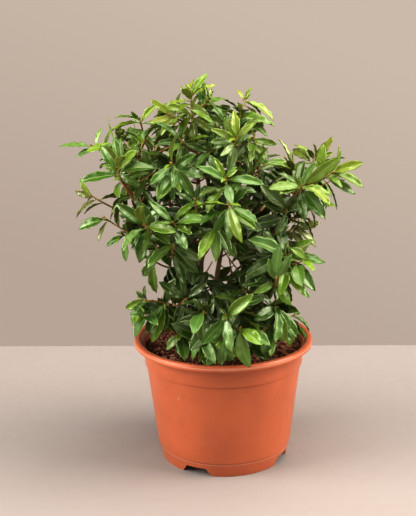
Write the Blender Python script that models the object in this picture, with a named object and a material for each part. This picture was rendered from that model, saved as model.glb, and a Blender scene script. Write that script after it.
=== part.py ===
# Bay laurel bush in a round nursery pot
# Metres, +Z up, the ground at z = 0. The photographed side faces -Y.

import math
import random

import bmesh
import bpy
from mathutils import Matrix, Vector
from mathutils.bvhtree import BVHTree

# Driving dimensions
POT_DIAMETER = 0.280        # over the lip
POT_HEIGHT = 0.195
WALL = 0.002
LEAF_WIDTH = 0.36           # of the leaf's length
LEAF_THICKNESS = 0.0013     # at the midrib, thinning to the margins
TWIG_RADIUS = 0.0014
FIT_GAP = 0.0003            # between pieces that touch
CENTIMETRE = 0.01
MILLIMETRE = 0.001

# The pot's axis stands here, so that the origin is under the middle of the whole bush
POT_AXIS = Vector((0.026, -0.0215, 0.0))

# Pot
LIP_RADIUS = POT_DIAMETER / 2
LIP_DEPTH = 0.0085
LIP_INNER_RADIUS = LIP_RADIUS - 0.008
BAND_RADIUS = LIP_RADIUS - 0.015
BAND_BOTTOM = POT_HEIGHT - 0.039
BODY_TOP_RADIUS = LIP_RADIUS - 0.018
BODY_FOOT_RADIUS = LIP_RADIUS - 0.034
FOOT_RING_HEIGHT = 0.0228
FOOT_TOP_RADIUS = LIP_RADIUS - 0.0355
FOOT_RADIUS = LIP_RADIUS - 0.040
FLOOR_TOP = FOOT_RING_HEIGHT + 0.0025
POT_SIDES = 30
LIP_ROLL = 0.0025           # rounding of the lip's outer edge
LIP_FLARE = 0.0004          # how far the lip's skirt stands out below
STEP_EDGE = 0.0006          # height of the small slopes at the pot's steps
BAND_STEP = 0.0045          # height over which the inside narrows under the band
FLARE_DEPTH = 0.012         # from the rim down to where the inside begins to flare into the lip
NOTCH_FIRST_ANGLE = 63.6    # degrees from the front towards +X
NOTCH_COUNT = 4
NOTCH_HEIGHT = 0.0125
NOTCH_HALF_FOOT = 14.5      # degrees, at the ground
NOTCH_HALF_TOP = 9.2        # degrees, at the notch's top
CUTTER_MARGIN = 0.004       # how far a cutter reaches past the wall that it cuts
DRAIN_COUNT = 6
DRAIN_FIRST_ANGLE = 22.0    # degrees
DRAIN_RING_RADIUS = 0.070
DRAIN_RADIUS = 0.006
DRAIN_SIDES = 8

# Growing medium
SOIL_EDGE_HEIGHT = POT_HEIGHT - 0.022
SOIL_CROWN = 0.005          # how far the middle stands above the edge
SOIL_RELIEF = 0.0016
SOIL_TOP_RINGS = (0.36, 0.72)                  # shares of the radius
SOIL_RIPPLES = (131.0, 117.0, 211.0, 173.0)    # radians per metre
STEM_BURIED_DEPTH = 0.050

# Leafy stems: radius at the soil and the way up, in centimetres from the pot's axis
STEMS = {
    "stem_left": (0.0062, [(-5.2, 0.0, 17.6), (-5.0, -0.5, 26.5), (-7.2, -1.0, 32.2), (-9.9, -2.0, 37.1),
                           (-12.8, -3.0, 41.7), (-14.6, -4.5, 45.0)]),
    "stem_leader": (0.0055, [(-3.4, 2.2, 17.4), (-3.6, 1.8, 24.9), (-3.3, 1.0, 33.2), (-3.5, 0.0, 41.4),
                             (-3.8, -1.0, 49.2), (-4.3, -1.5, 54.5)]),
    "stem_centre": (0.0048, [(-1.6, 0.0, 17.4), (-1.4, 0.0, 25.4), (-0.2, -0.5, 33.6), (0.9, -2.0, 41.0),
                             (1.3, -3.0, 48.0), (2.1, -3.0, 52.0)]),
    "stem_right": (0.0050, [(1.0, 1.2, 17.7), (2.6, 2.0, 24.7), (5.8, 2.0, 31.5), (9.2, -1.0, 38.6),
                            (11.2, -3.0, 43.5)]),
    "stem_low_right": (0.0042, [(0.8, -2.2, 17.4), (3.0, -4.0, 23.3), (6.7, -6.5, 28.4), (8.2, -8.0, 31.8),
                                (8.8, -9.0, 34.2)]),
    "stem_low_left": (0.0036, [(-6.8, -3.0, 17.9), (-6.3, -4.4, 22.7), (-7.8, -5.2, 26.1),
                               (-10.6, -5.2, 27.0)]),
    "stem_front": (0.0036, [(-1.8, -4.0, 17.2), (-0.9, -7.5, 21.8), (0.2, -10.0, 24.6)]),
    "stem_back_left": (0.0050, [(-2.6, 5.2, 17.5), (-4.2, 7.5, 24.9), (-6.4, 9.6, 32.6), (-9.0, 10.2, 40.8),
                                (-11.0, 7.6, 47.0)]),
    "stem_back_right": (0.0050, [(0.4, 4.2, 17.5), (2.9, 7.2, 24.8), (5.2, 9.8, 32.4), (6.4, 9.8, 40.8),
                                 (5.8, 7.4, 47.2)]),
}

# Shoots: the stem each grows from, its tip in centimetres from the pot's axis, how many leaves follow the
# spiral rule, and the leaves seen from the front as (heading, lean, length): degrees in the front view
# from +X towards +Z, degrees towards the viewer, millimetres
SHOOTS = [
    ("stem_leader", (-4.4, -2.0, 57.4), 3, [(45, 10, 40), (120, -10, 26), (165, 20, 41), (345, 30, 42)]),
    ("stem_leader", (-4.3, -4.0, 55.0), 3, [(150, 10, 42), (215, 40, 36), (325, 40, 38)]),
    ("stem_leader", (-7.5, -3.0, 54.8), 3, [(140, 0, 38), (225, 30, 34), (20, 10, 32)]),
    ("stem_back_left", (-12.3, 2.0, 53.6), 3, [(155, 0, 38), (185, 10, 48), (5, 0, 48), (130, -20, 28)]),
    ("stem_back_left", (-15.6, -1.0, 50.4), 3, [(120, 10, 43), (60, 10, 30), (165, 20, 32)]),
    ("stem_back_left", (-19.7, 2.0, 49.6), 3, [(170, 0, 52), (80, 0, 33), (185, 20, 34)]),
    ("stem_left", (-15.1, -8.0, 47.8), 3, [(105, 20, 46), (55, 10, 42), (25, 20, 54), (350, 45, 40),
                                           (180, 5, 60)]),
    ("stem_leader", (-7.3, -10.0, 48.8), 3, [(90, 15, 50), (210, 35, 46), (280, 60, 38), (40, 40, 42),
                                             (355, 35, 50), (230, 50, 58)]),
    ("stem_back_left", (-20.2, 3.0, 41.6), 3, [(135, 0, 36), (160, 10, 36), (205, 10, 46), (15, -10, 46)]),
    ("stem_left", (-18.0, 0.0, 38.8), 3, [(195, 0, 48), (240, 10, 36), (70, 10, 34)]),
    ("stem_left", (-14.9, -3.0, 36.8), 3, [(200, 10, 34), (260, 20, 38), (150, 10, 34)]),
    ("stem_left", (-11.1, -12.0, 40.4), 3, [(135, 20, 56), (5, 35, 50), (195, 35, 50), (285, 60, 36),
                                            (245, 40, 50)]),
    ("stem_leader", (-7.1, -13.0, 41.0), 3, [(130, 20, 52), (30, 30, 54), (355, 50, 36), (300, 55, 44)]),
    ("stem_leader", (-4.0, -12.0, 44.0), 3, [(115, 20, 56), (225, 40, 38), (55, 10, 40)]),
    ("stem_centre", (0.8, -14.0, 43.8), 3, [(170, 20, 54), (275, 45, 52), (330, 30, 48), (235, 45, 44),
                                            (45, 10, 38)]),
    ("stem_centre", (3.4, 0.0, 56.4), 2, [(345, 20, 34), (335, 5, 58)]),
    ("stem_centre", (2.7, -3.0, 54.6), 3, [(350, 5, 54), (340, 15, 50), (160, 10, 38), (220, 30, 36)]),
    ("stem_leader", (-1.9, -3.0, 57.0), 3, [(320, 30, 58), (15, 0, 30)]),
    ("stem_centre", (4.3, -4.0, 51.2), 3, [(355, 10, 40), (320, 20, 40), (225, 40, 36)]),
    ("stem_back_right", (5.3, -1.0, 47.6), 5, [(20, 10, 36), (295, 30, 34)]),
    ("stem_centre", (2.0, -8.0, 52.0), 3, [(45, 10, 34), (120, 10, 36), (150, 10, 40)]),
    ("stem_centre", (0.4, -12.0, 47.0), 3, [(115, 20, 38), (10, 20, 54), (145, 10, 46), (285, 55, 42)]),
    ("stem_right", (14.2, 1.0, 47.6), 4, [(135, 0, 36), (50, 0, 46), (30, 15, 34)]),
    ("stem_right", (10.3, -1.0, 46.5), 3, [(95, 0, 46), (40, 20, 34), (200, 30, 34)]),
    ("stem_right", (16.0, -5.0, 46.2), 3, [(60, 0, 44), (45, 10, 40), (185, 40, 50), (340, 10, 54),
                                           (310, 15, 50)]),
    ("stem_right", (11.4, -9.0, 45.2), 3, [(170, 20, 50), (310, 30, 58), (350, 15, 46), (140, 10, 42)]),
    ("stem_right", (9.3, -8.0, 41.4), 3, [(130, 15, 58), (250, 50, 42), (20, 10, 40)]),
    ("stem_right", (13.8, 0.0, 40.1), 5, [(10, 0, 40), (300, 10, 32)]),
    ("stem_back_right", (11.6, 1.0, 36.4), 3, [(20, 5, 40), (335, 5, 44), (315, 20, 40), (190, 30, 40)]),
    ("stem_low_right", (9.0, -11.0, 35.4), 3, [(140, 25, 66), (185, 35, 68), (5, 15, 58), (325, 30, 64),
                                               (305, 40, 60)]),
    ("stem_low_right", (9.4, -6.0, 30.4), 3, [(330, 10, 46), (295, 20, 38), (215, 40, 38)]),
    ("stem_front", (2.7, -13.0, 28.8), 3, [(140, 20, 46), (185, 30, 42), (40, 20, 40), (235, 50, 42)]),
    ("stem_front", (0.3, -15.0, 27.7), 3, [(270, 40, 54), (225, 35, 53), (195, 20, 34)]),
    ("stem_front", (2.2, -15.0, 25.9), 2, [(275, 30, 60), (330, 35, 46), (205, 50, 36)]),
    ("stem_low_right", (7.1, -10.0, 24.6), 3, [(250, 30, 46), (320, 20, 36), (155, 20, 38)]),
    ("stem_low_right", (7.8, -10.0, 27.3), 2, [(270, 35, 54), (290, 30, 54), (310, 20, 40), (130, 10, 36)]),
    ("stem_low_right", (10.8, -3.0, 23.6), 3, [(340, 0, 38), (305, 10, 44), (285, 20, 44)]),
    ("stem_low_left", (-8.7, -8.0, 27.5), 3, [(225, 30, 56), (240, 40, 62), (250, 50, 38)]),
    ("stem_low_left", (-12.0, -5.0, 27.1), 3, [(205, 0, 34), (215, 10, 42), (245, 10, 38), (295, 30, 36)]),
    ("stem_left", (-9.7, -9.0, 36.5), 3, [(245, 30, 42), (320, 50, 42), (155, 10, 36)]),
    ("stem_left", (-10.4, -7.0, 33.9), 1, [(265, 10, 53), (235, 10, 34)]),
    ("stem_low_left", (-5.6, -10.0, 28.6), 2, [(135, 20, 48), (45, 15, 46), (20, 35, 42), (250, 50, 38)]),
    ("stem_left", (-7.4, -11.0, 37.3), 2, [(210, 30, 50), (340, 30, 50), (320, 40, 56)]),
    ("stem_centre", (-1.1, -13.0, 40.6), 3, [(235, 40, 58), (270, 50, 52), (310, 30, 46)]),
    ("stem_front", (-3.1, -13.0, 28.1), 3, [(265, 40, 50), (305, 40, 46), (180, 20, 38)]),
    ("stem_front", (-3.4, -12.0, 23.6), 2, [(240, 20, 38), (295, 20, 40)]),
    ("stem_low_left", (-6.5, -8.0, 22.8), 3, [(225, 10, 36), (315, 40, 34)]),
    ("stem_front", (-0.4, -14.0, 23.8), 2, [(270, 20, 38), (240, 20, 38), (310, 30, 36)]),
    ("stem_left", (-11.5, -3.0, 51.0), 2, [(60, 10, 40), (120, 10, 38), (200, 30, 36), (300, 45, 38)]),
    ("stem_left", (-10.5, -6.0, 46.5), 2, [(100, 20, 44), (235, 30, 46), (320, 30, 42), (20, 30, 40)]),
    ("stem_leader", (-6.0, -6.0, 51.5), 2, [(130, 15, 48), (95, 10, 42), (160, 25, 40), (40, 20, 42)]),
    ("stem_leader", (-1.5, -6.0, 50.0), 2, [(80, 15, 46), (35, 20, 44), (140, 20, 40), (300, 50, 40)]),
    ("stem_back_left", (-10.0, 12.0, 49.0), 6, []),
    ("stem_back_left", (-1.5, 8.5, 53.5), 6, []),
    ("stem_back_left", (-15.0, 7.0, 43.5), 6, []),
    ("stem_back_left", (-6.0, 16.5, 44.0), 6, []),
    ("stem_back_left", (-12.0, 12.5, 36.0), 6, []),
    ("stem_back_left", (-5.0, 16.5, 34.0), 6, []),
    ("stem_back_left", (-6.5, 9.0, 27.5), 4, []),
    ("stem_back_right", (5.0, 8.0, 52.0), 6, []),
    ("stem_back_right", (14.0, 6.5, 43.0), 6, []),
    ("stem_back_right", (2.0, 17.5, 45.0), 6, []),
    ("stem_back_right", (8.5, 16.0, 39.5), 6, []),
    ("stem_back_right", (13.0, 11.0, 35.0), 6, []),
    ("stem_back_right", (3.5, 17.0, 33.5), 6, []),
    ("stem_back_right", (9.0, 13.5, 28.5), 5, []),
    ("stem_back_right", (3.5, 10.5, 25.0), 4, []),
]

# The viewer's eye, and the crown's outline from there, in centimetres on the plane through the pot's axis
VIEWER_EYE = (-2.3, -158.5, 75.2)
CROWN_OUTLINE = [
    (-6.5, 57.0), (-5.5, 59.5), (-3.5, 60.0), (-1.5, 58.5), (-1.0, 57.0), (3.0, 56.0), (6.0, 54.0),
    (4.5, 52.0), (5.5, 50.0), (7.0, 49.0), (7.5, 47.0), (9.0, 47.0), (9.5, 49.5), (12.0, 50.5),
    (16.5, 50.0), (19.0, 48.5), (18.0, 46.0), (19.0, 43.5), (15.5, 41.5), (16.0, 40.0), (13.5, 39.5),
    (13.0, 37.0), (14.5, 35.5), (13.0, 33.5), (14.5, 29.5), (13.5, 28.0), (10.0, 27.0), (11.5, 24.0),
    (13.0, 19.5), (13.0, 17.0), (7.5, 14.0), (2.0, 13.0), (-4.0, 13.5), (-8.0, 17.0), (-12.5, 18.0),
    (-14.0, 20.0), (-14.5, 23.0), (-13.0, 25.0), (-9.0, 26.0), (-9.0, 28.0), (-8.0, 30.5), (-9.5, 32.5),
    (-13.0, 33.5), (-15.0, 35.0), (-15.0, 38.0), (-17.0, 41.0), (-16.0, 42.5), (-18.0, 44.0),
    (-17.0, 46.0), (-20.0, 48.0), (-20.5, 49.5), (-18.0, 51.5), (-15.0, 53.0), (-10.5, 52.5),
    (-9.5, 55.5),
]
LEAF_INSIDE = (0.45, 0.85)  # shares of a leaf's length that are seen inside the outline

# Where twigs and leaves grow
LOWEST_TWIG = 0.21          # share of a stem below which it has none
STEM_READINGS = 48          # places on a stem tried for a twig's root
TWIG_RISE = 0.4             # how much higher than its root a twig's tip should be, of its reach
LOW_ROOT_WEIGHT = 1.5       # what a root too high counts, against a longer reach
TWIG_SAGS = (0.14, 0.0, 0.28, -0.14)           # bends tried, of the twig's reach
LEAF_STEP = 0.003           # between the petioles of a shoot's seen leaves
HIGHEST_LEAF = 0.98         # share of the twig
SPIRAL_TURN = 137.5         # degrees from one leaf to the next along a shoot
SPIRAL_SPREAD = (76.0, 42.0)                   # degrees from the twig, at its root and at its tip
SPIRAL_LENGTHS = (0.0425, 0.0600)
SPIRAL_TOP = 0.97           # shares of the twig between which the spiral's leaves grow
SPIRAL_LOW_SEEN = 0.30
SPIRAL_LOW_UNSEEN = 0.35
LEAF_DROOPS = (0.10, 0.60)  # radians that a leaf's midrib bends over its length
LEAF_WAVES = (0.012, 0.024)                    # of the leaf's length
LEAF_SIZES_TRIED = (1.0, 0.8)
LEAF_BENDS_TRIED = ((0, 0), (12, 0), (-12, 0), (0, 12), (0, -12), (22, 8), (-22, 8), (18, -18), (-18, -18),
                    (0, 26), (32, 0), (-32, 0))    # degrees swung and tipped
LEAF_REACH = 0.6            # radius of a leaf's surroundings, of its length
FACE_ALONG = 0.35           # how much a leaf's upper face looks along its twig,
FACE_UP = 0.75              # up to the light
FACE_OUT = 0.30             # and out of the bush
FACE_SCATTER = 0.35

# Leaf and stem forms
BROAD_LEAF = 54             # millimetres, from which a leaf's outline has one more corner
BROAD_STATIONS = (0.28, 0.55, 0.80)   # shares of a leaf's length where its outline has corners
PLAIN_STATIONS = (0.33, 0.68)
MARGIN_FOLD = 0.28          # how far the margins stand above the midrib, of the half width
BASE_SWELL = 1.8            # how much thicker the midrib is towards the twig
ROOT_SUNK = 0.0011          # how far behind its twig's middle a leaf begins
BLADE_START = 0.07          # below this share of their length neighbours on one shoot may touch
STEM_SIDES = 5
STEM_STATIONS = 5
STEM_TAPER = 0.62           # what a stem loses of its radius up to its tip
TWIG_SIDES = 4
TWIG_STATIONS = 3
TWIG_SWELL = (1.25, 0.90)   # of the twig's radius, at its root and at its tip

# Colours, as linear values
POT_COLOUR = (0.56, 0.115, 0.045, 1.0)
SOIL_COLOUR = (0.075, 0.026, 0.014, 1.0)
LEAF_COLOUR = (0.085, 0.190, 0.022, 1.0)
BARK_COLOUR = (0.130, 0.070, 0.022, 1.0)

UP = Vector((0.0, 0.0, 1.0))


def clear_scene():
    for item in list(bpy.data.objects):
        bpy.data.objects.remove(item)


def plain_material(name, colour, roughness):
    material = bpy.data.materials.new(name)
    material.use_nodes = True
    shader = material.node_tree.nodes["Principled BSDF"]
    shader.inputs["Base Color"].default_value = colour
    shader.inputs["Roughness"].default_value = roughness
    material.diffuse_color = colour
    return material


def pot_material():
    return plain_material("terracotta_plastic", POT_COLOUR, 0.55)


def soil_material():
    return plain_material("bark_and_coir", SOIL_COLOUR, 0.95)


def leaf_material():
    return plain_material("bay_leaf", LEAF_COLOUR, 0.40)


def bark_material():
    return plain_material("bay_bark", BARK_COLOUR, 0.75)


def mesh_object(name, points, faces, materials, face_slot=0):
    mesh = bpy.data.meshes.new(name)
    mesh.from_pydata([tuple(p) for p in points], [], faces)
    for material in materials:
        mesh.materials.append(material)
    for polygon in mesh.polygons:
        polygon.material_index = face_slot
    item = bpy.data.objects.new(name, mesh)
    bpy.context.collection.objects.link(item)
    return item


def turned_mesh(name, profile, sides, materials):
    # A closed outline of (radius, height) turned about the Z axis; radius 0 makes one point
    points = []
    rings = []
    for radius, height in profile:
        if radius == 0.0:
            points.append(Vector((0.0, 0.0, height)))
            rings.append([len(points) - 1] * sides)
            continue
        ring = []
        for side in range(sides):
            angle = 2 * math.pi * side / sides
            points.append(Vector((radius * math.cos(angle), radius * math.sin(angle), height)))
            ring.append(len(points) - 1)
        rings.append(ring)
    faces = []
    for here, below in zip(rings, rings[1:] + rings[:1]):
        for side in range(sides):
            after = (side + 1) % sides
            corners = [here[side], below[side], below[after], here[after]]
            face = [c for place, c in enumerate(corners) if c != corners[place - 1]]
            if len(face) > 2:
                faces.append(face)
    return mesh_object(name, points, faces, materials)


def apply_boolean(item, operation, cutter=None, collection=None):
    modifier = item.modifiers.new(operation.lower(), "BOOLEAN")
    modifier.operation = operation
    modifier.solver = "EXACT"
    if collection is not None:
        modifier.operand_type = "COLLECTION"
        modifier.collection = collection
    else:
        modifier.object = cutter
    shape = item.evaluated_get(bpy.context.evaluated_depsgraph_get())
    result = bpy.data.meshes.new_from_object(shape)
    item.modifiers.clear()
    item.data = result


def smooth_shading(item, angle=35.0):
    item.data.shade_smooth()
    item.data.set_sharp_from_angle(angle=math.radians(angle))


def inner_wall():
    # The pot's inside, from the floor's edge up to where it flares into the lip
    return [
        (BODY_FOOT_RADIUS - WALL, FLOOR_TOP),
        (BODY_TOP_RADIUS - WALL, BAND_BOTTOM + STEP_EDGE),
        (BAND_RADIUS - WALL - STEP_EDGE, BAND_BOTTOM + BAND_STEP),
        (BAND_RADIUS - WALL, POT_HEIGHT - FLARE_DEPTH),
    ]


def pot_profile():
    # Out over the lip, down the outside, in under the floor and up the inside
    floor_underside = FLOOR_TOP - WALL
    foot_inner = FOOT_RADIUS - WALL
    lip_bottom = POT_HEIGHT - LIP_DEPTH
    return [
        (LIP_INNER_RADIUS, POT_HEIGHT),
        (LIP_RADIUS - LIP_ROLL, POT_HEIGHT),
        (LIP_RADIUS, POT_HEIGHT - LIP_ROLL),
        (LIP_RADIUS + LIP_FLARE, lip_bottom),
        (LIP_RADIUS - WALL, lip_bottom),
        (BAND_RADIUS, lip_bottom + WALL),
        (BAND_RADIUS - STEP_EDGE, BAND_BOTTOM),
        (BODY_TOP_RADIUS, BAND_BOTTOM - STEP_EDGE),
        (BODY_FOOT_RADIUS, FOOT_RING_HEIGHT + STEP_EDGE),
        (FOOT_TOP_RADIUS, FOOT_RING_HEIGHT - STEP_EDGE),
        (FOOT_RADIUS, 0.0),
        (foot_inner, 0.0),
        (FOOT_TOP_RADIUS - WALL, floor_underside),
        (0.0, floor_underside),
        (0.0, FLOOR_TOP),
    ] + inner_wall() + [(LIP_INNER_RADIUS - LIP_ROLL, POT_HEIGHT - LIP_ROLL)]


def notch_cutter(angle):
    # A wedge through the foot ring, narrower at its top
    inner = FOOT_RADIUS - WALL - CUTTER_MARGIN
    outer = FOOT_TOP_RADIUS + CUTTER_MARGIN
    widening = (NOTCH_HALF_FOOT - NOTCH_HALF_TOP) * CUTTER_MARGIN / NOTCH_HEIGHT
    points = []
    for height, half in ((-CUTTER_MARGIN, NOTCH_HALF_FOOT + widening), (NOTCH_HEIGHT, NOTCH_HALF_TOP)):
        for radius in (inner, outer):
            for side in (-1, 1):
                turn = math.radians(angle + side * half)
                points.append((radius * math.sin(turn), -radius * math.cos(turn), height))
    faces = [(0, 1, 3, 2), (4, 6, 7, 5), (0, 4, 5, 1), (2, 3, 7, 6), (0, 2, 6, 4), (1, 5, 7, 3)]
    cutter = mesh_object("notch_cutter", points, faces, [])
    make_faces_point_out(cutter)
    return cutter


def drain_cutter(angle):
    x = DRAIN_RING_RADIUS * math.cos(angle)
    y = DRAIN_RING_RADIUS * math.sin(angle)
    line = [Vector((x, y, FLOOR_TOP - WALL - CUTTER_MARGIN)), Vector((x, y, FLOOR_TOP + CUTTER_MARGIN))]
    return tube("drain_cutter", line, [DRAIN_RADIUS, DRAIN_RADIUS], DRAIN_SIDES, [])


def make_faces_point_out(item):
    shape = bmesh.new()
    shape.from_mesh(item.data)
    bmesh.ops.recalc_face_normals(shape, faces=shape.faces)
    shape.to_mesh(item.data)
    shape.free()


def make_pot():
    pot = turned_mesh("pot", pot_profile(), POT_SIDES, [pot_material()])
    make_faces_point_out(pot)
    cutters = []
    for number in range(NOTCH_COUNT):
        cutters.append(notch_cutter(NOTCH_FIRST_ANGLE + 360.0 * number / NOTCH_COUNT))
    for number in range(DRAIN_COUNT):
        cutters.append(drain_cutter(math.radians(DRAIN_FIRST_ANGLE + 360.0 * number / DRAIN_COUNT)))
    for cutter in cutters:
        apply_boolean(pot, "DIFFERENCE", cutter=cutter)
        bpy.data.objects.remove(cutter)
    smooth_shading(pot)
    return pot


def soil_height(x, y):
    # Slightly crowned, with chunks of bark as low relief that fades out at the wall
    radius = math.hypot(x, y) / BAND_RADIUS
    wide_x, wide_y, narrow_x, narrow_y = SOIL_RIPPLES
    chunks = math.sin(wide_x * x) * math.cos(wide_y * y) + 0.6 * math.sin(narrow_x * x - narrow_y * y)
    fade = 1.0 - radius ** 4
    return SOIL_EDGE_HEIGHT + SOIL_CROWN * (1.0 - radius ** 2) + SOIL_RELIEF * chunks * fade


def make_soil():
    points = []
    faces = []
    rings = []
    sides = [(radius - FIT_GAP, height + FIT_GAP) for radius, height in inner_wall()[:3]]
    top_radius = sides[-1][0]
    outline = [(top_radius, None)] + sides[::-1]
    top_rings = [(share * top_radius, None) for share in SOIL_TOP_RINGS]
    for radius, height in top_rings + outline:
        ring = []
        for side in range(POT_SIDES):
            angle = 2 * math.pi * side / POT_SIDES
            x = radius * math.cos(angle)
            y = radius * math.sin(angle)
            z = soil_height(x, y) if height is None else height
            points.append((x, y, z))
            ring.append(len(points) - 1)
        rings.append(ring)
    points.append((0.0, 0.0, soil_height(0.0, 0.0)))
    centre_top = len(points) - 1
    points.append((0.0, 0.0, FLOOR_TOP + FIT_GAP))
    centre_bottom = len(points) - 1
    for side in range(POT_SIDES):
        after = (side + 1) % POT_SIDES
        faces.append([centre_top, rings[0][side], rings[0][after]])
        for inner, outer in zip(rings, rings[1:]):
            faces.append([inner[side], outer[side], outer[after], inner[after]])
        faces.append([rings[-1][side], centre_bottom, rings[-1][after]])
    soil = mesh_object("growing_medium", points, faces, [soil_material()])
    make_faces_point_out(soil)
    for radius, way in STEMS.values():
        line = stem_centre_line(way, FIT_GAP)
        hole = tube("hole_cutter", line, stem_radii(radius, FIT_GAP), STEM_SIDES, [])
        apply_boolean(soil, "DIFFERENCE", cutter=hole)
        bpy.data.objects.remove(hole)
    smooth_shading(soil, 50.0)
    return soil


def smooth_way(way, share):
    # Catmull-Rom curve through hand-placed points, read at a share of its course
    last = len(way) - 1
    place = min(max(share, 0.0), 1.0) * last
    part = min(int(place), last - 1)
    t = place - part
    before = way[max(part - 1, 0)]
    start = way[part]
    end = way[part + 1]
    after = way[min(part + 2, last)]
    straight = (end - before) * t
    bend = (2 * before - 5 * start + 4 * end - after) * t ** 2
    turn = (3 * start - before - 3 * end + after) * t ** 3
    return start + 0.5 * (straight + bend + turn)


def in_metres(point):
    return Vector(point) * CENTIMETRE


def stem_way(way):
    return [in_metres(point) for point in way]


def stem_centre_line(way, extra=0.0):
    # The buried end goes straight down into the medium
    course = stem_way(way)
    line = [course[0] - UP * (STEM_BURIED_DEPTH + extra)]
    for station in range(STEM_STATIONS):
        line.append(smooth_way(course, station / (STEM_STATIONS - 1)))
    return line


def stem_radii(radius, extra=0.0):
    radii = [radius + extra]
    for station in range(STEM_STATIONS):
        share = station / (STEM_STATIONS - 1)
        radii.append(radius * (1.0 - STEM_TAPER * share) + extra)
    return radii


def across(direction):
    side = direction.cross(Vector((0.31, 0.87, 0.38)))
    return side.normalized()


def tube_mesh(line, radii, sides):
    points = []
    faces = []
    side_way = None
    for place, centre in enumerate(line):
        ahead = line[min(place + 1, len(line) - 1)]
        behind = line[max(place - 1, 0)]
        direction = (ahead - behind).normalized()
        if side_way is None:
            side_way = across(direction)
        side_way = (side_way - direction * side_way.dot(direction)).normalized()
        other = direction.cross(side_way)
        for side in range(sides):
            turn = 2 * math.pi * side / sides
            points.append(centre + radii[place] * (math.cos(turn) * side_way + math.sin(turn) * other))
    for ring in range(len(line) - 1):
        for side in range(sides):
            after = (side + 1) % sides
            low = ring * sides
            high = low + sides
            faces.append([low + side, low + after, high + after, high + side])
    faces.append(list(range(sides))[::-1])
    faces.append(list(range(len(points) - sides, len(points))))
    return points, faces


def tube(name, line, radii, sides, materials):
    points, faces = tube_mesh(line, radii, sides)
    return mesh_object(name, points, faces, materials, 0)


def twig_root(tip, way):
    # A twig leaves its stem a little lower than its tip, where the stem is near
    best = None
    for step in range(round(LOWEST_TWIG * STEM_READINGS), STEM_READINGS + 1):
        point = smooth_way(way, step / STEM_READINGS)
        reach = (tip - point).length
        too_high = max(0.0, point.z - (tip.z - TWIG_RISE * reach))
        cost = reach + LOW_ROOT_WEIGHT * too_high
        if best is None or cost < best[0]:
            best = (cost, point)
    return best[1]


def twig_line(root, tip, sag):
    # Leaves the stem outwards and turns up towards its tip
    reach = (tip - root).length
    control = (root + tip) / 2 - UP * sag * reach
    line = []
    for station in range(TWIG_STATIONS):
        t = station / (TWIG_STATIONS - 1)
        line.append((1 - t) ** 2 * root + 2 * t * (1 - t) * control + t ** 2 * tip)
    return line


def twig_radii():
    at_root, at_tip = TWIG_SWELL
    last = TWIG_STATIONS - 1
    return [TWIG_RADIUS * (at_root + (at_tip - at_root) * station / last) for station in range(TWIG_STATIONS)]


def along(line, share):
    # Point and direction at a share of a polyline's stations
    place = min(max(share, 0.0), 1.0) * (len(line) - 1)
    part = min(int(place), len(line) - 2)
    t = place - part
    step = line[part + 1] - line[part]
    return line[part] + step * t, step.normalized()


class Leaf:
    # A folded, arched blade on a short petiole, rooted in the middle of its twig
    def __init__(self, root, direction, facing, length, droop, wave, stations):
        self.root = root
        self.direction = direction
        self.side = direction.cross(facing).normalized()
        self.top = self.side.cross(direction).normalized()
        self.length = length
        self.droop = droop
        self.wave = wave
        self.stations = stations

    def midrib(self, share):
        ahead = self.length * share * math.cos(self.droop * share * 0.8)
        fall = self.length * share * math.sin(self.droop * share * 0.8)
        return self.root + self.direction * ahead - self.top * fall

    def section(self, share, half, depth, sway):
        centre = self.midrib(share)
        rise = half * MARGIN_FOLD
        right = centre + self.side * half + self.top * (rise + sway)
        left = centre - self.side * half + self.top * (rise - sway)
        return [right, centre - self.top * depth, left, centre + self.top * depth]

    def mesh(self, start=0.0, grow=0.0):
        # Both faces are split by the same diagonals, so that they never cross
        points = [self.midrib(start) - self.direction * (ROOT_SUNK if start == 0.0 else 0.0)]
        for number, share in enumerate(self.stations):
            half = self.length * LEAF_WIDTH / 2 * leaf_outline(share) + grow
            depth = LEAF_THICKNESS / 2 * (BASE_SWELL if number == 0 else 1.0) + grow
            sway = self.wave * self.length * (1 if number % 2 else -1)
            points += self.section(share, half, depth, sway)
        points.append(self.midrib(1.0))
        right, under, left, over = range(1, 5)
        faces = [(right, over, 0), (under, right, 0), (left, under, 0), (over, left, 0)]
        for ring in range(1, len(self.stations)):
            right, under, left, over = range(4 * ring - 3, 4 * ring + 1)
            next_right, next_under, next_left, next_over = range(4 * ring + 1, 4 * ring + 5)
            faces += [(over, right, next_over), (right, next_right, next_over)]
            faces += [(right, under, next_under), (right, next_under, next_right)]
            faces += [(left, over, next_over), (left, next_over, next_left)]
            faces += [(under, left, next_under), (left, next_left, next_under)]
        right, under, left, over = range(len(points) - 5, len(points) - 1)
        tip = len(points) - 1
        faces += [(over, right, tip), (right, under, tip), (under, left, tip), (left, over, tip)]
        return points, faces


def leaf_outline(share):
    # Half width of an elliptic leaf with a tapered base and a pointed tip
    return math.sin(math.pi * share ** 0.85) ** 0.9


def tree_of(points, faces):
    return BVHTree.FromPolygons(points, faces)


class Space:
    # What already stands, so that what comes next grows clear of it
    def __init__(self):
        self.solid = []

    def add(self, node, whole, own, centre, reach):
        self.solid.append((node, whole, own, centre, reach))

    def is_free(self, node, whole, own, centre, reach):
        for other_node, other_whole, other_own, other_centre, other_reach in self.solid:
            if (centre - other_centre).length > reach + other_reach:
                continue
            if other_node == node:
                if own is not None and other_own is not None and own.overlap(other_own):
                    return False
            elif whole.overlap(other_whole):
                return False
        return True


def object_tree(item):
    points = [vertex.co.copy() for vertex in item.data.vertices]
    return tree_of(points, [tuple(polygon.vertices) for polygon in item.data.polygons])


def ways_round(direction, facing):
    # The leaf as it is meant, then swung and tipped a little further each time
    side = direction.cross(facing)
    for swing, tip in LEAF_BENDS_TRIED:
        turn = Matrix.Rotation(math.radians(swing), 3, facing) @ Matrix.Rotation(math.radians(tip), 3, side)
        yield turn @ direction


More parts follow.
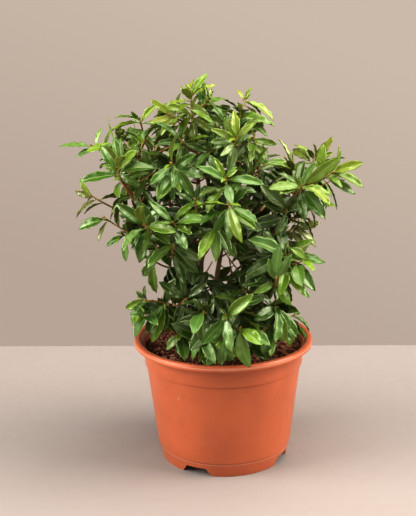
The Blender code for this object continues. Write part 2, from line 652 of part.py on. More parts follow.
def facing_of(direction, axis, outward, scatter):
    # A leaf's upper face looks to the light, outwards and to the end of its shoot
    facing = axis * FACE_ALONG + UP * FACE_UP + outward * FACE_OUT + scatter
    facing -= direction * facing.dot(direction)
    if facing.length < 0.25:
        facing = across(direction)
    return facing.normalized()


def within_crown(leaf):
    eye = in_metres(VIEWER_EYE)
    for share in LEAF_INSIDE:
        point = leaf.midrib(share)
        seen = (eye + (point - eye) * eye.y / (eye.y - point.y)) / CENTIMETRE
        inside = False
        for (x, z), (next_x, next_z) in zip(CROWN_OUTLINE, CROWN_OUTLINE[1:] + CROWN_OUTLINE[:1]):
            if (z > seen.z) != (next_z > seen.z) and seen.x < x + (next_x - x) * (seen.z - z) / (next_z - z):
                inside = not inside
        if not inside:
            return False
    return True


def place_leaf(space, node, root, direction, axis, outward, length, chance, stations, in_outline=False):
    droop = chance.uniform(*LEAF_DROOPS)
    wave = chance.uniform(*LEAF_WAVES)
    scatter = Vector((chance.gauss(0.0, 1.0), chance.gauss(0.0, 1.0), chance.gauss(0.0, 1.0))) * FACE_SCATTER
    for size in LEAF_SIZES_TRIED:
        for way in ways_round(direction, facing_of(direction, axis, outward, scatter)):
            facing = facing_of(way, axis, outward, scatter)
            leaf = Leaf(root, way, facing, length * size, droop, wave, stations)
            if in_outline and not within_crown(leaf):
                continue
            whole = tree_of(*leaf.mesh(grow=FIT_GAP))
            own = tree_of(*leaf.mesh(start=BLADE_START))
            centre = leaf.midrib(0.5)
            if space.is_free(node, whole, own, centre, leaf.length * LEAF_REACH):
                space.add(node, whole, own, centre, leaf.length * LEAF_REACH)
                return leaf
    return None


def seen_direction(heading, lean):
    across_view = math.cos(math.radians(lean))
    return Vector((math.cos(math.radians(heading)) * across_view, -math.sin(math.radians(lean)),
                   math.sin(math.radians(heading)) * across_view))


def spiral_share(place, count, below_seen):
    # Below the seen leaves the spiral begins nearly a leaf's distance further down
    if below_seen:
        return SPIRAL_TOP - (SPIRAL_TOP - SPIRAL_LOW_SEEN) * (place + 0.9) / (count + 0.4)
    return SPIRAL_TOP - (SPIRAL_TOP - SPIRAL_LOW_UNSEEN) * place / count


def spiral_direction(axis, turn, share):
    low, high = SPIRAL_SPREAD
    spread = math.radians(low + (high - low) * share)
    first = across(axis)
    second = axis.cross(first)
    out = math.cos(turn) * first + math.sin(turn) * second
    return (axis * math.cos(spread) + out * math.sin(spread)).normalized()


def grow_stems(space):
    # The main stems, as (line, radii) by node
    grown = {}
    for node, (radius, way) in STEMS.items():
        line = stem_centre_line(way)
        radii = stem_radii(radius)
        grown[node] = (line, radii)
        add_tube(space, node, line, radii, STEM_SIDES)
    return grown


def add_tube(space, node, line, radii, sides):
    grown_radii = [radius + FIT_GAP for radius in radii]
    whole = tree_of(*tube_mesh(line, grown_radii, sides))
    own = tree_of(*tube_mesh(line, radii, sides))
    centre = (line[0] + line[-1]) / 2
    reach = max((point - centre).length for point in line) + max(grown_radii)
    space.add(node, whole, own, centre, reach)


def grow_twigs(space):
    # One twig for each shoot, bent clear of the other stems and their twigs
    twigs = []
    for node, tip, spiral_count, seen in SHOOTS:
        end = in_metres(tip)
        root = twig_root(end, stem_way(STEMS[node][1]))
        radii = twig_radii()
        for sag in TWIG_SAGS:
            line = twig_line(root, end, sag)
            centre = (line[0] + line[-1]) / 2
            reach = max((point - centre).length for point in line) + TWIG_RADIUS * 2
            whole = tree_of(*tube_mesh(line, [radius + FIT_GAP for radius in radii], TWIG_SIDES))
            if space.is_free(node, whole, None, centre, reach):
                break
        else:
            continue
        add_tube(space, node, line, radii, TWIG_SIDES)
        twigs.append((node, line, radii, spiral_count, seen))
    return twigs


def grow_leaves(space, twigs):
    # The leaves seen from the front first, then those that follow the spiral down each twig
    leaves = []
    for number, (node, line, radii, spiral_count, seen) in enumerate(twigs):
        tip, axis = along(line, 1.0)
        outward = Vector((tip.x, tip.y, 0.0)).normalized()
        for place, (heading, lean, length) in enumerate(seen):
            chance = random.Random(1000 * number + place)
            root = along(line, HIGHEST_LEAF - place * LEAF_STEP / (line[-1] - line[0]).length)[0]
            stations = BROAD_STATIONS if length >= BROAD_LEAF else PLAIN_STATIONS
            leaf = place_leaf(space, node, root, seen_direction(heading, lean), axis, outward,
                              length * MILLIMETRE, chance, stations)
            if leaf:
                leaves.append((node, leaf))
    for number, (node, line, radii, spiral_count, seen) in enumerate(twigs):
        axis = along(line, 1.0)[1]
        outward = Vector((line[-1].x, line[-1].y, 0.0)).normalized()
        start = random.Random(number).uniform(0.0, 2 * math.pi)
        for place in range(spiral_count):
            chance = random.Random(1000 * number + 500 + place)
            share = spiral_share(place, spiral_count, bool(seen))
            root, heading = along(line, share)
            direction = spiral_direction(heading, start + place * math.radians(SPIRAL_TURN), share)
            length = chance.uniform(*SPIRAL_LENGTHS)
            leaf = place_leaf(space, node, root, direction, axis, outward, length, chance, PLAIN_STATIONS,
                              in_outline=True)
            if leaf:
                leaves.append((node, leaf))
    return leaves


def largest_body(item):
    # Keeps the one joined body, without scraps or sealed hollows
    shape = bmesh.new()
    shape.from_mesh(item.data)
    unseen = set(shape.verts)
    bodies = []
    while unseen:
        body = {unseen.pop()}
        edge_of = list(body)
        while edge_of:
            vertex = edge_of.pop()
            for edge in vertex.link_edges:
                other = edge.other_vert(vertex)
                if other in unseen:
                    unseen.remove(other)
                    body.add(other)
                    edge_of.append(other)
        bodies.append(body)
    bodies.sort(key=len)
    for body in bodies[:-1]:
        bmesh.ops.delete(shape, geom=list(body), context="VERTS")
    shape.to_mesh(item.data)
    shape.free()


def make_leafy_stem(node, stem, twigs, leaves, materials):
    # The stem with its twigs and leaves, fused into one body
    line, radii = stem
    body = tube(node, line, radii, STEM_SIDES, materials)
    growth = bpy.data.collections.new(node + "_growth")
    bpy.context.scene.collection.children.link(growth)
    pieces = [(tube_mesh(twig_path, twig_radii, TWIG_SIDES), 0) for twig_path, twig_radii in twigs]
    pieces += [(leaf.mesh(), 1) for leaf in leaves]
    for (points, faces), slot in pieces:
        piece = mesh_object("growth", points, faces, materials, slot)
        bpy.context.collection.objects.unlink(piece)
        growth.objects.link(piece)
    apply_boolean(body, "UNION", collection=growth)
    for piece in list(growth.objects):
        bpy.data.objects.remove(piece)
    bpy.data.collections.remove(growth)
    largest_body(body)
    smooth_shading(body, 40.0)
    return body


def build():
    clear_scene()
    axis = bpy.data.objects.new("bush_axis", None)
    bpy.context.collection.objects.link(axis)
    axis.location = POT_AXIS
    pieces = [make_pot(), make_soil()]
    space = Space()
    for piece in pieces:
        tree = object_tree(piece)
        space.add(piece.name, tree, tree, Vector((0.0, 0.0, POT_HEIGHT / 2)), POT_DIAMETER)
    stems = grow_stems(space)
    twigs = grow_twigs(space)
    leaves = grow_leaves(space, twigs)
    materials = [bark_material(), leaf_material()]
    for node, stem in stems.items():
        own_twigs = [twig[1:3] for twig in twigs if twig[0] == node]
        own_leaves = [leaf for owner, leaf in leaves if owner == node]
        pieces.append(make_leafy_stem(node, stem, own_twigs, own_leaves, materials))
    for piece in pieces:
        piece.parent = axis
    return twigs, leaves


build()
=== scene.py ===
import math
import random

import bmesh
import bpy
from mathutils import Matrix, Vector, noise
from mathutils.bvhtree import BVHTree
from mathutils.kdtree import KDTree


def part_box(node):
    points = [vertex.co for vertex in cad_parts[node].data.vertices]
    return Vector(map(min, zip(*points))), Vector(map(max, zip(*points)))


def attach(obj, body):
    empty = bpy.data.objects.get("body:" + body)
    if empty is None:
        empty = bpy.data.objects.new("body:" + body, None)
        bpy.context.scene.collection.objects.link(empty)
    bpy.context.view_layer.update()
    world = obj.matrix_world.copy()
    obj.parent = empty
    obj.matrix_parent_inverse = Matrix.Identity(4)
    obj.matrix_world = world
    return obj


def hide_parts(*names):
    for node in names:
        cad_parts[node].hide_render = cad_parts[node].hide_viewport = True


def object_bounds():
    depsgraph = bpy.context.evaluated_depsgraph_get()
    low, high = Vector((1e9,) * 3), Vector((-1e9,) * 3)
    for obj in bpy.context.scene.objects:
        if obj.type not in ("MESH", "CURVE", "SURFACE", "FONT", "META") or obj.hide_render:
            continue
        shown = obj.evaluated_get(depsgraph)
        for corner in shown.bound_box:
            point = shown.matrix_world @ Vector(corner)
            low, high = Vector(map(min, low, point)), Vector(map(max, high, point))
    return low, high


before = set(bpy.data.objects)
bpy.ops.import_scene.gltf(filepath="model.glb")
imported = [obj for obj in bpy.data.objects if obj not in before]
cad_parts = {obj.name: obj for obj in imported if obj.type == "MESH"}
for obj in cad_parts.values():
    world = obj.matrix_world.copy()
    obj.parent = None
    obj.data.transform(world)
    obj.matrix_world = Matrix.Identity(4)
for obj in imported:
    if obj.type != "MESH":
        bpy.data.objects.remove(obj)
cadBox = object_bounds()
potLow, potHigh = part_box("pot")
potAxis = Vector(((potLow[0] + potHigh[0]) / 2, (potLow[1] + potHigh[1]) / 2, 0))    # pieces are built round it
print("frame loaded, pot axis at", [round(value, 4) for value in potAxis])

mm = 0.001
cm = 0.01
up = Vector((0, 0, 1))


# small tools for meshes

def newPiece(name, points, faces, materials, faceSlots=None):
    mesh = bpy.data.meshes.new(name)
    mesh.from_pydata([tuple(point) for point in points], [], faces)
    for material in materials:
        mesh.materials.append(material)
    if faceSlots:
        mesh.polygons.foreach_set("material_index", faceSlots)
    mesh.shade_smooth()
    piece = bpy.data.objects.new(name, mesh)
    piece.location = potAxis
    bpy.context.collection.objects.link(piece)
    return piece


def paintPoints(piece, name, values):
    # one number or one vector for each point, read by the materials
    kind = "FLOAT_VECTOR" if isinstance(values[0], tuple) else "FLOAT"
    layer = piece.data.attributes.new(name, kind, "POINT")
    if kind == "FLOAT":
        layer.data.foreach_set("value", values)
    else:
        layer.data.foreach_set("vector", [number for value in values for number in value])


def pointFacesOut(piece):
    shape = bmesh.new()
    shape.from_mesh(piece.data)
    bmesh.ops.recalc_face_normals(shape, faces=shape.faces)
    shape.to_mesh(piece.data)
    shape.free()


def softCorners(corners, steps=5):
    # a closed outline of (radius, height, rounding) with each corner drawn as a short curve
    outline = []
    for place, (radius, height, rounding) in enumerate(corners):
        here = Vector((radius, height))
        if rounding == 0:
            outline.append(here)
            continue
        before = Vector(corners[place - 1][:2])
        after = Vector(corners[(place + 1) % len(corners)][:2])
        start = here + (before - here).normalized() * min(rounding, (before - here).length * 0.45)
        end = here + (after - here).normalized() * min(rounding, (after - here).length * 0.45)
        for step in range(steps + 1):
            t = step / steps
            outline.append((1 - t) ** 2 * start + 2 * t * (1 - t) * here + t ** 2 * end)
    return outline


def turned(name, outline, sides, materials):
    # an outline of (radius, height) turned about the pot's axis
    points = []
    rings = []
    for radius, height in outline:
        if radius == 0:
            points.append((0, 0, height))
            rings.append([len(points) - 1] * sides)
            continue
        rings.append([len(points) + side for side in range(sides)])
        for side in range(sides):
            turn = 2 * math.pi * side / sides
            points.append((radius * math.cos(turn), radius * math.sin(turn), height))
    faces = []
    for here, below in zip(rings, rings[1:] + rings[:1]):
        for side in range(sides):
            after = (side + 1) % sides
            corners = [here[side], below[side], below[after], here[after]]
            face = [corner for place, corner in enumerate(corners) if corner != corners[place - 1]]
            if len(face) > 2:
                faces.append(face)
    piece = newPiece(name, points, faces, materials)
    pointFacesOut(piece)
    return piece


def sideways(direction):
    return direction.cross(Vector((0.31, 0.87, 0.38))).normalized()


def rod(line, radii, sides):
    # points and faces of a closed round rod along a line
    points = []
    faces = []
    side = None
    for place, centre in enumerate(line):
        heading = (line[min(place + 1, len(line) - 1)] - line[max(place - 1, 0)]).normalized()
        if side is None:
            side = sideways(heading)
        side = (side - heading * side.dot(heading)).normalized()
        other = heading.cross(side)
        for number in range(sides):
            turn = 2 * math.pi * number / sides
            points.append(centre + radii[place] * (math.cos(turn) * side + math.sin(turn) * other))
    for ring in range(len(line) - 1):
        for number in range(sides):
            after = (number + 1) % sides
            low = ring * sides
            high = low + sides
            faces.append((low + number, low + after, high + after, high + number))
    faces.append(tuple(range(sides))[::-1])
    faces.append(tuple(range(len(points) - sides, len(points))))
    return points, faces


# small tools for materials

def newMaterial(name):
    material = bpy.data.materials.new(name)
    material.use_nodes = True
    return material, material.node_tree, material.node_tree.nodes["Principled BSDF"]


def addNode(tree, kind, inputs=None, **settings):
    node = tree.nodes.new(kind)
    for key, value in settings.items():
        setattr(node, key, value)
    for key, value in (inputs or {}).items():
        if isinstance(value, bpy.types.NodeSocket):
            tree.links.new(value, node.inputs[key])
        else:
            node.inputs[key].default_value = value
    return node


def calculate(tree, operation, first, second=0.0, third=0.0):
    node = addNode(tree, "ShaderNodeMath", {0: first, 1: second, 2: third}, operation=operation)
    return node.outputs[0]


def between(tree, value, low, high, toLow=0.0, toHigh=1.0):
    # eases a value from low to high into a share
    inputs = {"Value": value, "From Min": low, "From Max": high, "To Min": toLow, "To Max": toHigh}
    return addNode(tree, "ShaderNodeMapRange", inputs, interpolation_type="SMOOTHSTEP").outputs["Result"]


def blendColours(tree, share, first, second, way="MIX"):
    node = addNode(tree, "ShaderNodeMix", {"Factor": share}, data_type="RGBA", blend_type=way)
    for socket, value in ((node.inputs[6], first), (node.inputs[7], second)):
        if isinstance(value, bpy.types.NodeSocket):
            tree.links.new(value, socket)
        else:
            socket.default_value = (*value, 1.0)
    return node.outputs[2]


def grain(tree, size, detail=4.0, stretch=(1, 1, 1), roughness=0.55):
    # noise whose lumps are about size metres across, in the piece's own place
    place = addNode(tree, "ShaderNodeTexCoord").outputs["Object"]
    scaled = addNode(tree, "ShaderNodeMapping", {"Vector": place, "Scale": stretch}).outputs["Vector"]
    inputs = {"Vector": scaled, "Scale": 1 / size, "Detail": detail, "Roughness": roughness}
    return addNode(tree, "ShaderNodeTexNoise", inputs).outputs["Fac"]


def roughen(tree, shader, height, distance, strength=1.0, under=None):
    inputs = {"Height": height, "Distance": distance, "Strength": strength}
    if under is not None:
        inputs["Normal"] = under
    bump = addNode(tree, "ShaderNodeBump", inputs).outputs["Normal"]
    tree.links.new(bump, shader.inputs["Normal"])
    return bump


# the pot

pot = {
    "height": potHigh[2],
    "lipRadius": (potHigh[0] - potLow[0]) / 2 - 0.4 * mm,
    "wall": 2 * mm,
    "lipDepth": 8.5 * mm,
    "bandIn": 15 * mm,              # radii, measured in from the lip
    "bodyTopIn": 18 * mm,
    "bodyFootIn": 34 * mm,
    "footTopIn": 35.5 * mm,
    "footIn": 40 * mm,
    "bandDepth": 39 * mm,
    "groove": 0.4 * mm,             # under the band
    "footHeight": 22.8 * mm,
    "floorTop": 25.3 * mm,
    "notchAngles": (63.6, 153.6, 243.6, 333.6),      # degrees from the front towards +X
    "notchHeight": 12.5 * mm,
    "notchHalfFoot": 14.5,
    "notchHalfTop": 9.2,
    "drainAngles": (22, 82, 142, 202, 262, 322),
    "drainRing": 70 * mm,
    "drainRadius": 6 * mm,
    "sides": 144,
    "colour": (0.415, 0.117, 0.049),
    "sunnyColour": (0.480, 0.136, 0.056),
    "dustColour": (0.62, 0.36, 0.25),
    "scratchPlace": (-70 * mm, -102 * mm, 128 * mm),
    "scratchSizes": (2.5 * mm, 12 * mm, 5.5 * mm),
    # painted highlights along the lip and the foot step: how far below the top, and half their width
    "paintedHighlightEdges": ((4.2 * mm, 1.8 * mm), (198 * mm - 23.2 * mm, 1.3 * mm)),
    "roughness": 0.29,
}


def potPlastic():
    material, tree, shader = newMaterial("terracottaPlastic")
    clouds = grain(tree, 70 * mm, 3)
    flecks = grain(tree, 1.6 * mm, 2)
    streaks = grain(tree, 9 * mm, 5, (1, 1, 0.12))
    colour = blendColours(tree, between(tree, clouds, 0.30, 0.72), pot["colour"], pot["sunnyColour"])
    colour = blendColours(tree, between(tree, flecks, 0.66, 0.80, 0, 0.30), colour, pot["dustColour"])
    colour = blendColours(tree, between(tree, streaks, 0.60, 0.85, 0, 0.16), colour, pot["dustColour"])
    # painted highlight: thin bands of the pale dust colour along the outer edges of the lip and of the foot
    place = addNode(tree, "ShaderNodeTexCoord").outputs["Object"]
    down = calculate(tree, "SUBTRACT", pot["height"], addNode(tree, "ShaderNodeSeparateXYZ", {0: place}).outputs["Z"])
    for depth, half in pot["paintedHighlightEdges"]:
        aside = calculate(tree, "ABSOLUTE", calculate(tree, "SUBTRACT", down, depth))
        colour = blendColours(tree, between(tree, aside, 0.1 * half, half, 0.50, 0), colour, pot["dustColour"])
    # a short pale scratch on the front
    away = addNode(tree, "ShaderNodeVectorMath", {0: place, 1: pot["scratchPlace"]}, operation="SUBTRACT").outputs[0]
    away = addNode(tree, "ShaderNodeVectorMath", {0: away, 1: pot["scratchSizes"]}, operation="DIVIDE").outputs[0]
    reach = addNode(tree, "ShaderNodeVectorMath", {0: away}, operation="LENGTH").outputs["Value"]
    colour = blendColours(tree, between(tree, reach, 0.2, 1.0, 0.55, 0), colour, pot["dustColour"])
    tree.links.new(colour, shader.inputs["Base Color"])
    tree.links.new(between(tree, streaks, 0.25, 0.80, pot["roughness"], pot["roughness"] + 0.14), shader.inputs["Roughness"])
    peel = roughen(tree, shader, grain(tree, 1.1 * mm, 2), 0.05 * mm, 0.35)
    roughen(tree, shader, streaks, 0.25 * mm, 0.25, peel)
    return material


def potOutline():
    lip = pot["lipRadius"]
    top = pot["height"]
    wall = pot["wall"]
    lipBottom = top - pot["lipDepth"]
    bandBottom = top - pot["bandDepth"]
    step = 0.6 * mm
    return softCorners([
        (lip - 8 * mm, top, 1.6 * mm),
        (lip, top, 3.6 * mm),
        (lip + 0.4 * mm, lipBottom, 0.9 * mm),
        (lip - wall, lipBottom, 0.5 * mm),
        (lip - pot["bandIn"], lipBottom + wall, 1.5 * mm),
        (lip - pot["bandIn"] - step, bandBottom, 0.7 * mm),
        (lip - pot["bodyTopIn"] - pot["groove"], bandBottom - step, 0.5 * mm),
        (lip - pot["bodyTopIn"] - 0.2 * mm, bandBottom - step - 2.4 * mm, 1.2 * mm),
        (lip - pot["bodyFootIn"], pot["footHeight"] + step, 1.6 * mm),
        (lip - pot["footTopIn"] - 0.3 * mm, pot["footHeight"] - step, 0.6 * mm),
        (lip - pot["footIn"], 0, 0.6 * mm),
        (lip - pot["footIn"] - wall, 0, 0.6 * mm),
        (lip - pot["footTopIn"] - wall, pot["floorTop"] - wall, 2 * mm),
        (0, pot["floorTop"] - wall, 0),
        (0, pot["floorTop"], 0),
        (lip - pot["bodyFootIn"] - wall, pot["floorTop"], 2 * mm),
        (lip - pot["bodyTopIn"] - wall, bandBottom + step, 1.2 * mm),
        (lip - pot["bandIn"] - wall - step, bandBottom + 4.5 * mm, 1.2 * mm),
        (lip - pot["bandIn"] - wall, top - 12 * mm, 2.5 * mm),
    ])


def cutAway(piece, points, faces):
    # takes a closed shape out of the piece
    cutter = newPiece("cutter", points, faces, [])
    pointFacesOut(cutter)
    tool = piece.modifiers.new("cut", "BOOLEAN")
    tool.operation = "DIFFERENCE"
    tool.object = cutter
    shape = piece.evaluated_get(bpy.context.evaluated_depsgraph_get())
    result = bpy.data.meshes.new_from_object(shape)
    piece.modifiers.clear()
    piece.data = result
    bpy.data.objects.remove(cutter)


def notchShape(angle):
    inner = pot["lipRadius"] - pot["footIn"] - 6 * mm
    outer = pot["lipRadius"] - pot["footTopIn"] + 4 * mm
    points = []
    for height, half in ((-4 * mm, pot["notchHalfFoot"] + 1.7), (pot["notchHeight"], pot["notchHalfTop"])):
        for radius in (inner, outer):
            for side in (-1, 1):
                turn = math.radians(angle + side * half)
                points.append((radius * math.sin(turn), -radius * math.cos(turn), height))
    faces = [(0, 1, 3, 2), (4, 6, 7, 5), (0, 4, 5, 1), (2, 3, 7, 6), (0, 2, 6, 4), (1, 5, 7, 3)]
    return points, faces


def makePot():
    shell = turned("pot_shell", potOutline(), pot["sides"], [potPlastic()])
    for angle in pot["notchAngles"]:
        cutAway(shell, *notchShape(angle))
    for angle in pot["drainAngles"]:
        turn = math.radians(angle)
        x, y = pot["drainRing"] * math.cos(turn), pot["drainRing"] * math.sin(turn)
        line = [Vector((x, y, pot["floorTop"] - 6 * mm)), Vector((x, y, pot["floorTop"] + 4 * mm))]
        cutAway(shell, *rod(line, [pot["drainRadius"]] * 2, 24))
    shell.data.shade_smooth()
    shell.data.set_sharp_from_angle(angle=math.radians(40))
    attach(shell, "root")
    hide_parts("pot")
    print("pot", len(shell.data.polygons), "faces")
    return shell


# the potting mix: packed bed, bark chips, coir fibres and a few white grains

mix = {
    "edgeHeight": pot["height"] - 18.5 * mm,
    "crown": 4 * mm,
    "relief": 3.2 * mm,
    "radius": pot["lipRadius"] - pot["bandIn"] - pot["wall"] - 0.9 * mm,
    "rings": 46,
    "sides": 132,
    "chips": 900,
    "chipLengths": (5 * mm, 22 * mm),
    "fibres": 900,
    "fibreLengths": (9 * mm, 34 * mm),
    "grains": 70,
    "darkColour": (0.060, 0.024, 0.014),
    "brownColour": (0.400, 0.145, 0.070),
    "paleColour": (0.80, 0.46, 0.28),
}


def mixHeight(x, y):
    radius = math.hypot(x, y) / mix["radius"]
    place = Vector((x, y, 0.0))
    lumps = noise.noise(place * 62) + 0.55 * noise.noise(place * 150) + 0.30 * noise.noise(place * 330)
    fade = 1 - radius ** 6
    return mix["edgeHeight"] + mix["crown"] * (1 - radius ** 2) + mix["relief"] * lumps * fade


def mixMaterial(name, dark, pale, tidy=False):
    material, tree, shader = newMaterial(name)
    tone = addNode(tree, "ShaderNodeAttribute", attribute_name="tone").outputs["Fac"]
    clods = grain(tree, 7 * mm, 6)
    colour = blendColours(tree, between(tree, tone, 0, 1), dark, pale)
    colour = blendColours(tree, between(tree, clods, 0.42, 0.66, 0.75, 0), colour, mix["darkColour"])
    tree.links.new(colour, shader.inputs["Base Color"])
    shader.inputs["Roughness"].default_value = 0.92
    shader.inputs["Specular IOR Level"].default_value = 0.25
    roughen(tree, shader, grain(tree, 1.3 * mm, 5), 0.6 * mm, 0.8)
    return material


def makeBed():
    points = [(0, 0, mixHeight(0, 0))]
    for ring in range(1, mix["rings"] + 1):
        radius = mix["radius"] * ring / mix["rings"]
        for side in range(mix["sides"]):
            turn = 2 * math.pi * side / mix["sides"]
            x, y = radius * math.cos(turn), radius * math.sin(turn)
            points.append((x, y, mixHeight(x, y)))
    lowRadius = pot["lipRadius"] - pot["bodyFootIn"] - pot["wall"] - 0.6 * mm
    bottom = pot["floorTop"] + 0.4 * mm
    neck = pot["lipRadius"] - pot["bodyTopIn"] - pot["wall"] - 0.6 * mm
    for radius, height in ((neck, pot["height"] - pot["bandDepth"]), (lowRadius, bottom)):
        for side in range(mix["sides"]):
            turn = 2 * math.pi * side / mix["sides"]
            points.append((radius * math.cos(turn), radius * math.sin(turn), height))
    points.append((0, 0, bottom))
    sides = mix["sides"]
    faces = [(0, 1 + side, 1 + (side + 1) % sides) for side in range(sides)]
    rings = mix["rings"] + 2
    for ring in range(rings - 1):
        for side in range(sides):
            after = (side + 1) % sides
            low = 1 + ring * sides
            high = low + sides
            faces.append((low + side, high + side, high + after, low + after))
    last = 1 + (rings - 1) * sides
    faces += [(last + side, len(points) - 1, last + (side + 1) % sides) for side in range(sides)]
    bed = newPiece("potting_mix", points, faces, [mixMaterial("pottingMix", mix["darkColour"], mix["brownColour"])])
    paintPoints(bed, "tone", [0.5 + 0.5 * noise.noise(Vector(point) * 210) for point in points])
    pointFacesOut(bed)
    return bed


def makeChips():
    chance = random.Random(41)
    points, faces, tones = [], [], []
    for number in range(mix["chips"] + mix["grains"]):
        isGrain = number >= mix["chips"]
        reach = mix["radius"] * 0.965 * math.sqrt(chance.random())
        turn = chance.uniform(0, 2 * math.pi)
        x, y = reach * math.cos(turn), reach * math.sin(turn)
        length = chance.uniform(1.2 * mm, 2.8 * mm) if isGrain else chance.uniform(*mix["chipLengths"]) * chance.uniform(0.4, 1)
        sizes = (length, length * chance.uniform(0.25, 0.6), length * chance.uniform(0.10, 0.28))
        if isGrain:
            sizes = (length, length * 0.8, length * 0.7)
        spin = Matrix.Rotation(chance.uniform(0, 6.3), 3, "Z") @ Matrix.Rotation(chance.gauss(0, 0.45), 3, "X")
        spin = spin @ Matrix.Rotation(chance.gauss(0, 0.35), 3, "Y")
        centre = Vector((x, y, mixHeight(x, y) + sizes[2] * 0.35 + chance.uniform(0, 1.2) * mm))
        start = len(points)
        corners = 6
        for level, narrowing in ((-0.5, 0.82), (0.5, 0.74)):
            for corner in range(corners):
                angle = 2 * math.pi * corner / corners
                wobble = narrowing * chance.uniform(0.75, 1.15)
                local = Vector((sizes[0] / 2 * math.cos(angle) * wobble, sizes[1] / 2 * math.sin(angle) * wobble,
                                sizes[2] * (level + chance.uniform(-0.2, 0.2))))
                points.append(centre + spin @ local)
        for corner in range(corners):
            after = (corner + 1) % corners
            faces.append((start + corner, start + after, start + corners + after, start + corners + corner))
        faces.append(tuple(start + corner for corner in reversed(range(corners))))
        faces.append(tuple(start + corners + corner for corner in range(corners)))
        tone = 1.0 if isGrain else 0.75 * chance.random() ** 1.6
        tones += [tone] * (2 * corners)
    chips = newPiece("bark_chips", points, faces, [mixMaterial("barkChips", mix["brownColour"], mix["paleColour"])])
    chips.data.shade_flat()
    paintPoints(chips, "tone", tones)
    return chips


def makeFibres():
    chance = random.Random(77)
    points, faces, tones = [], [], []
    for number in range(mix["fibres"]):
        reach = mix["radius"] * 0.93 * math.sqrt(chance.random())
        turn = chance.uniform(0, 2 * math.pi)
        place = Vector((reach * math.cos(turn), reach * math.sin(turn), 0))
        heading = chance.uniform(0, 2 * math.pi)
        length = chance.uniform(*mix["fibreLengths"])
        bend = chance.gauss(0, 1.1)
        hop = chance.uniform(0.5, 4.0) * mm
        line = []
        for step in range(7):
            t = step / 6
            if math.hypot(place.x, place.y) > mix["radius"] * 0.97:
                break
            height = mixHeight(place.x, place.y) + hop * math.sin(math.pi * t) + 0.5 * mm
            line.append(Vector((place.x, place.y, height)))
            place = place + Vector((math.cos(heading), math.sin(heading), 0)) * length / 6
            heading += bend / 6 + chance.gauss(0, 0.12)
        if len(line) < 3:
            continue
        thickness = chance.uniform(0.22, 0.55) * mm
        rodPoints, rodFaces = rod(line, [thickness * (1 - 0.5 * abs(2 * step / (len(line) - 1) - 1)) for step in range(len(line))], 4)
        faces += [tuple(corner + len(points) for corner in face) for face in rodFaces]
        points += rodPoints
        tones += [chance.random()] * len(rodPoints)
    fibres = newPiece("coir_fibres", points, faces, [mixMaterial("coirFibre", mix["brownColour"], mix["paleColour"])])
    paintPoints(fibres, "tone", tones)
    return fibres


def makeMix():
    bed = makeBed()
    for piece in (bed, makeChips(), makeFibres()):
        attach(piece, "root")
        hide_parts("growing_medium")
    print("potting mix with", mix["chips"], "chips")
    return bed


# how the bush grows: the stems, their shoots and the rule that sets the leaves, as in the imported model

# the stems: radius at the potting mix, then the way up, in centimetres from the pot's axis
stems = {
    "stem_left": (0.0062, [(-5.2, 0.0, 17.6), (-5.0, -0.5, 26.5), (-7.2, -1.0, 32.2), (-9.9, -2.0, 37.1),
                           (-12.8, -3.0, 41.7), (-14.6, -4.5, 45.0)]),
    "stem_leader": (0.0055, [(-3.4, 2.2, 17.4), (-3.6, 1.8, 24.9), (-3.3, 1.0, 33.2), (-3.5, 0.0, 41.4),
                             (-3.8, -1.0, 49.2), (-4.3, -1.5, 54.5)]),
    "stem_centre": (0.0048, [(-1.6, 0.0, 17.4), (-1.4, 0.0, 25.4), (-0.2, -0.5, 33.6), (0.9, -2.0, 41.0),
                             (1.3, -3.0, 48.0), (2.1, -3.0, 52.0)]),
    "stem_right": (0.0050, [(1.0, 1.2, 17.7), (2.6, 2.0, 24.7), (5.8, 2.0, 31.5), (9.2, -1.0, 38.6),
                            (11.2, -3.0, 43.5)]),
    "stem_low_right": (0.0042, [(0.8, -2.2, 17.4), (3.0, -4.0, 23.3), (6.7, -6.5, 28.4), (8.2, -8.0, 31.8),
                                (8.8, -9.0, 34.2)]),
    "stem_low_left": (0.0036, [(-6.8, -3.0, 17.9), (-6.3, -4.4, 22.7), (-7.8, -5.2, 26.1),
                               (-10.6, -5.2, 27.0)]),
    "stem_front": (0.0036, [(-1.8, -4.0, 17.2), (-0.9, -7.5, 21.8), (0.2, -10.0, 24.6)]),
    "stem_back_left": (0.0050, [(-2.6, 5.2, 17.5), (-4.2, 7.5, 24.9), (-6.4, 9.6, 32.6), (-9.0, 10.2, 40.8),
                                (-11.0, 7.6, 47.0)]),
    "stem_back_right": (0.0050, [(0.4, 4.2, 17.5), (2.9, 7.2, 24.8), (5.2, 9.8, 32.4), (6.4, 9.8, 40.8),
                                 (5.8, 7.4, 47.2)]),
}

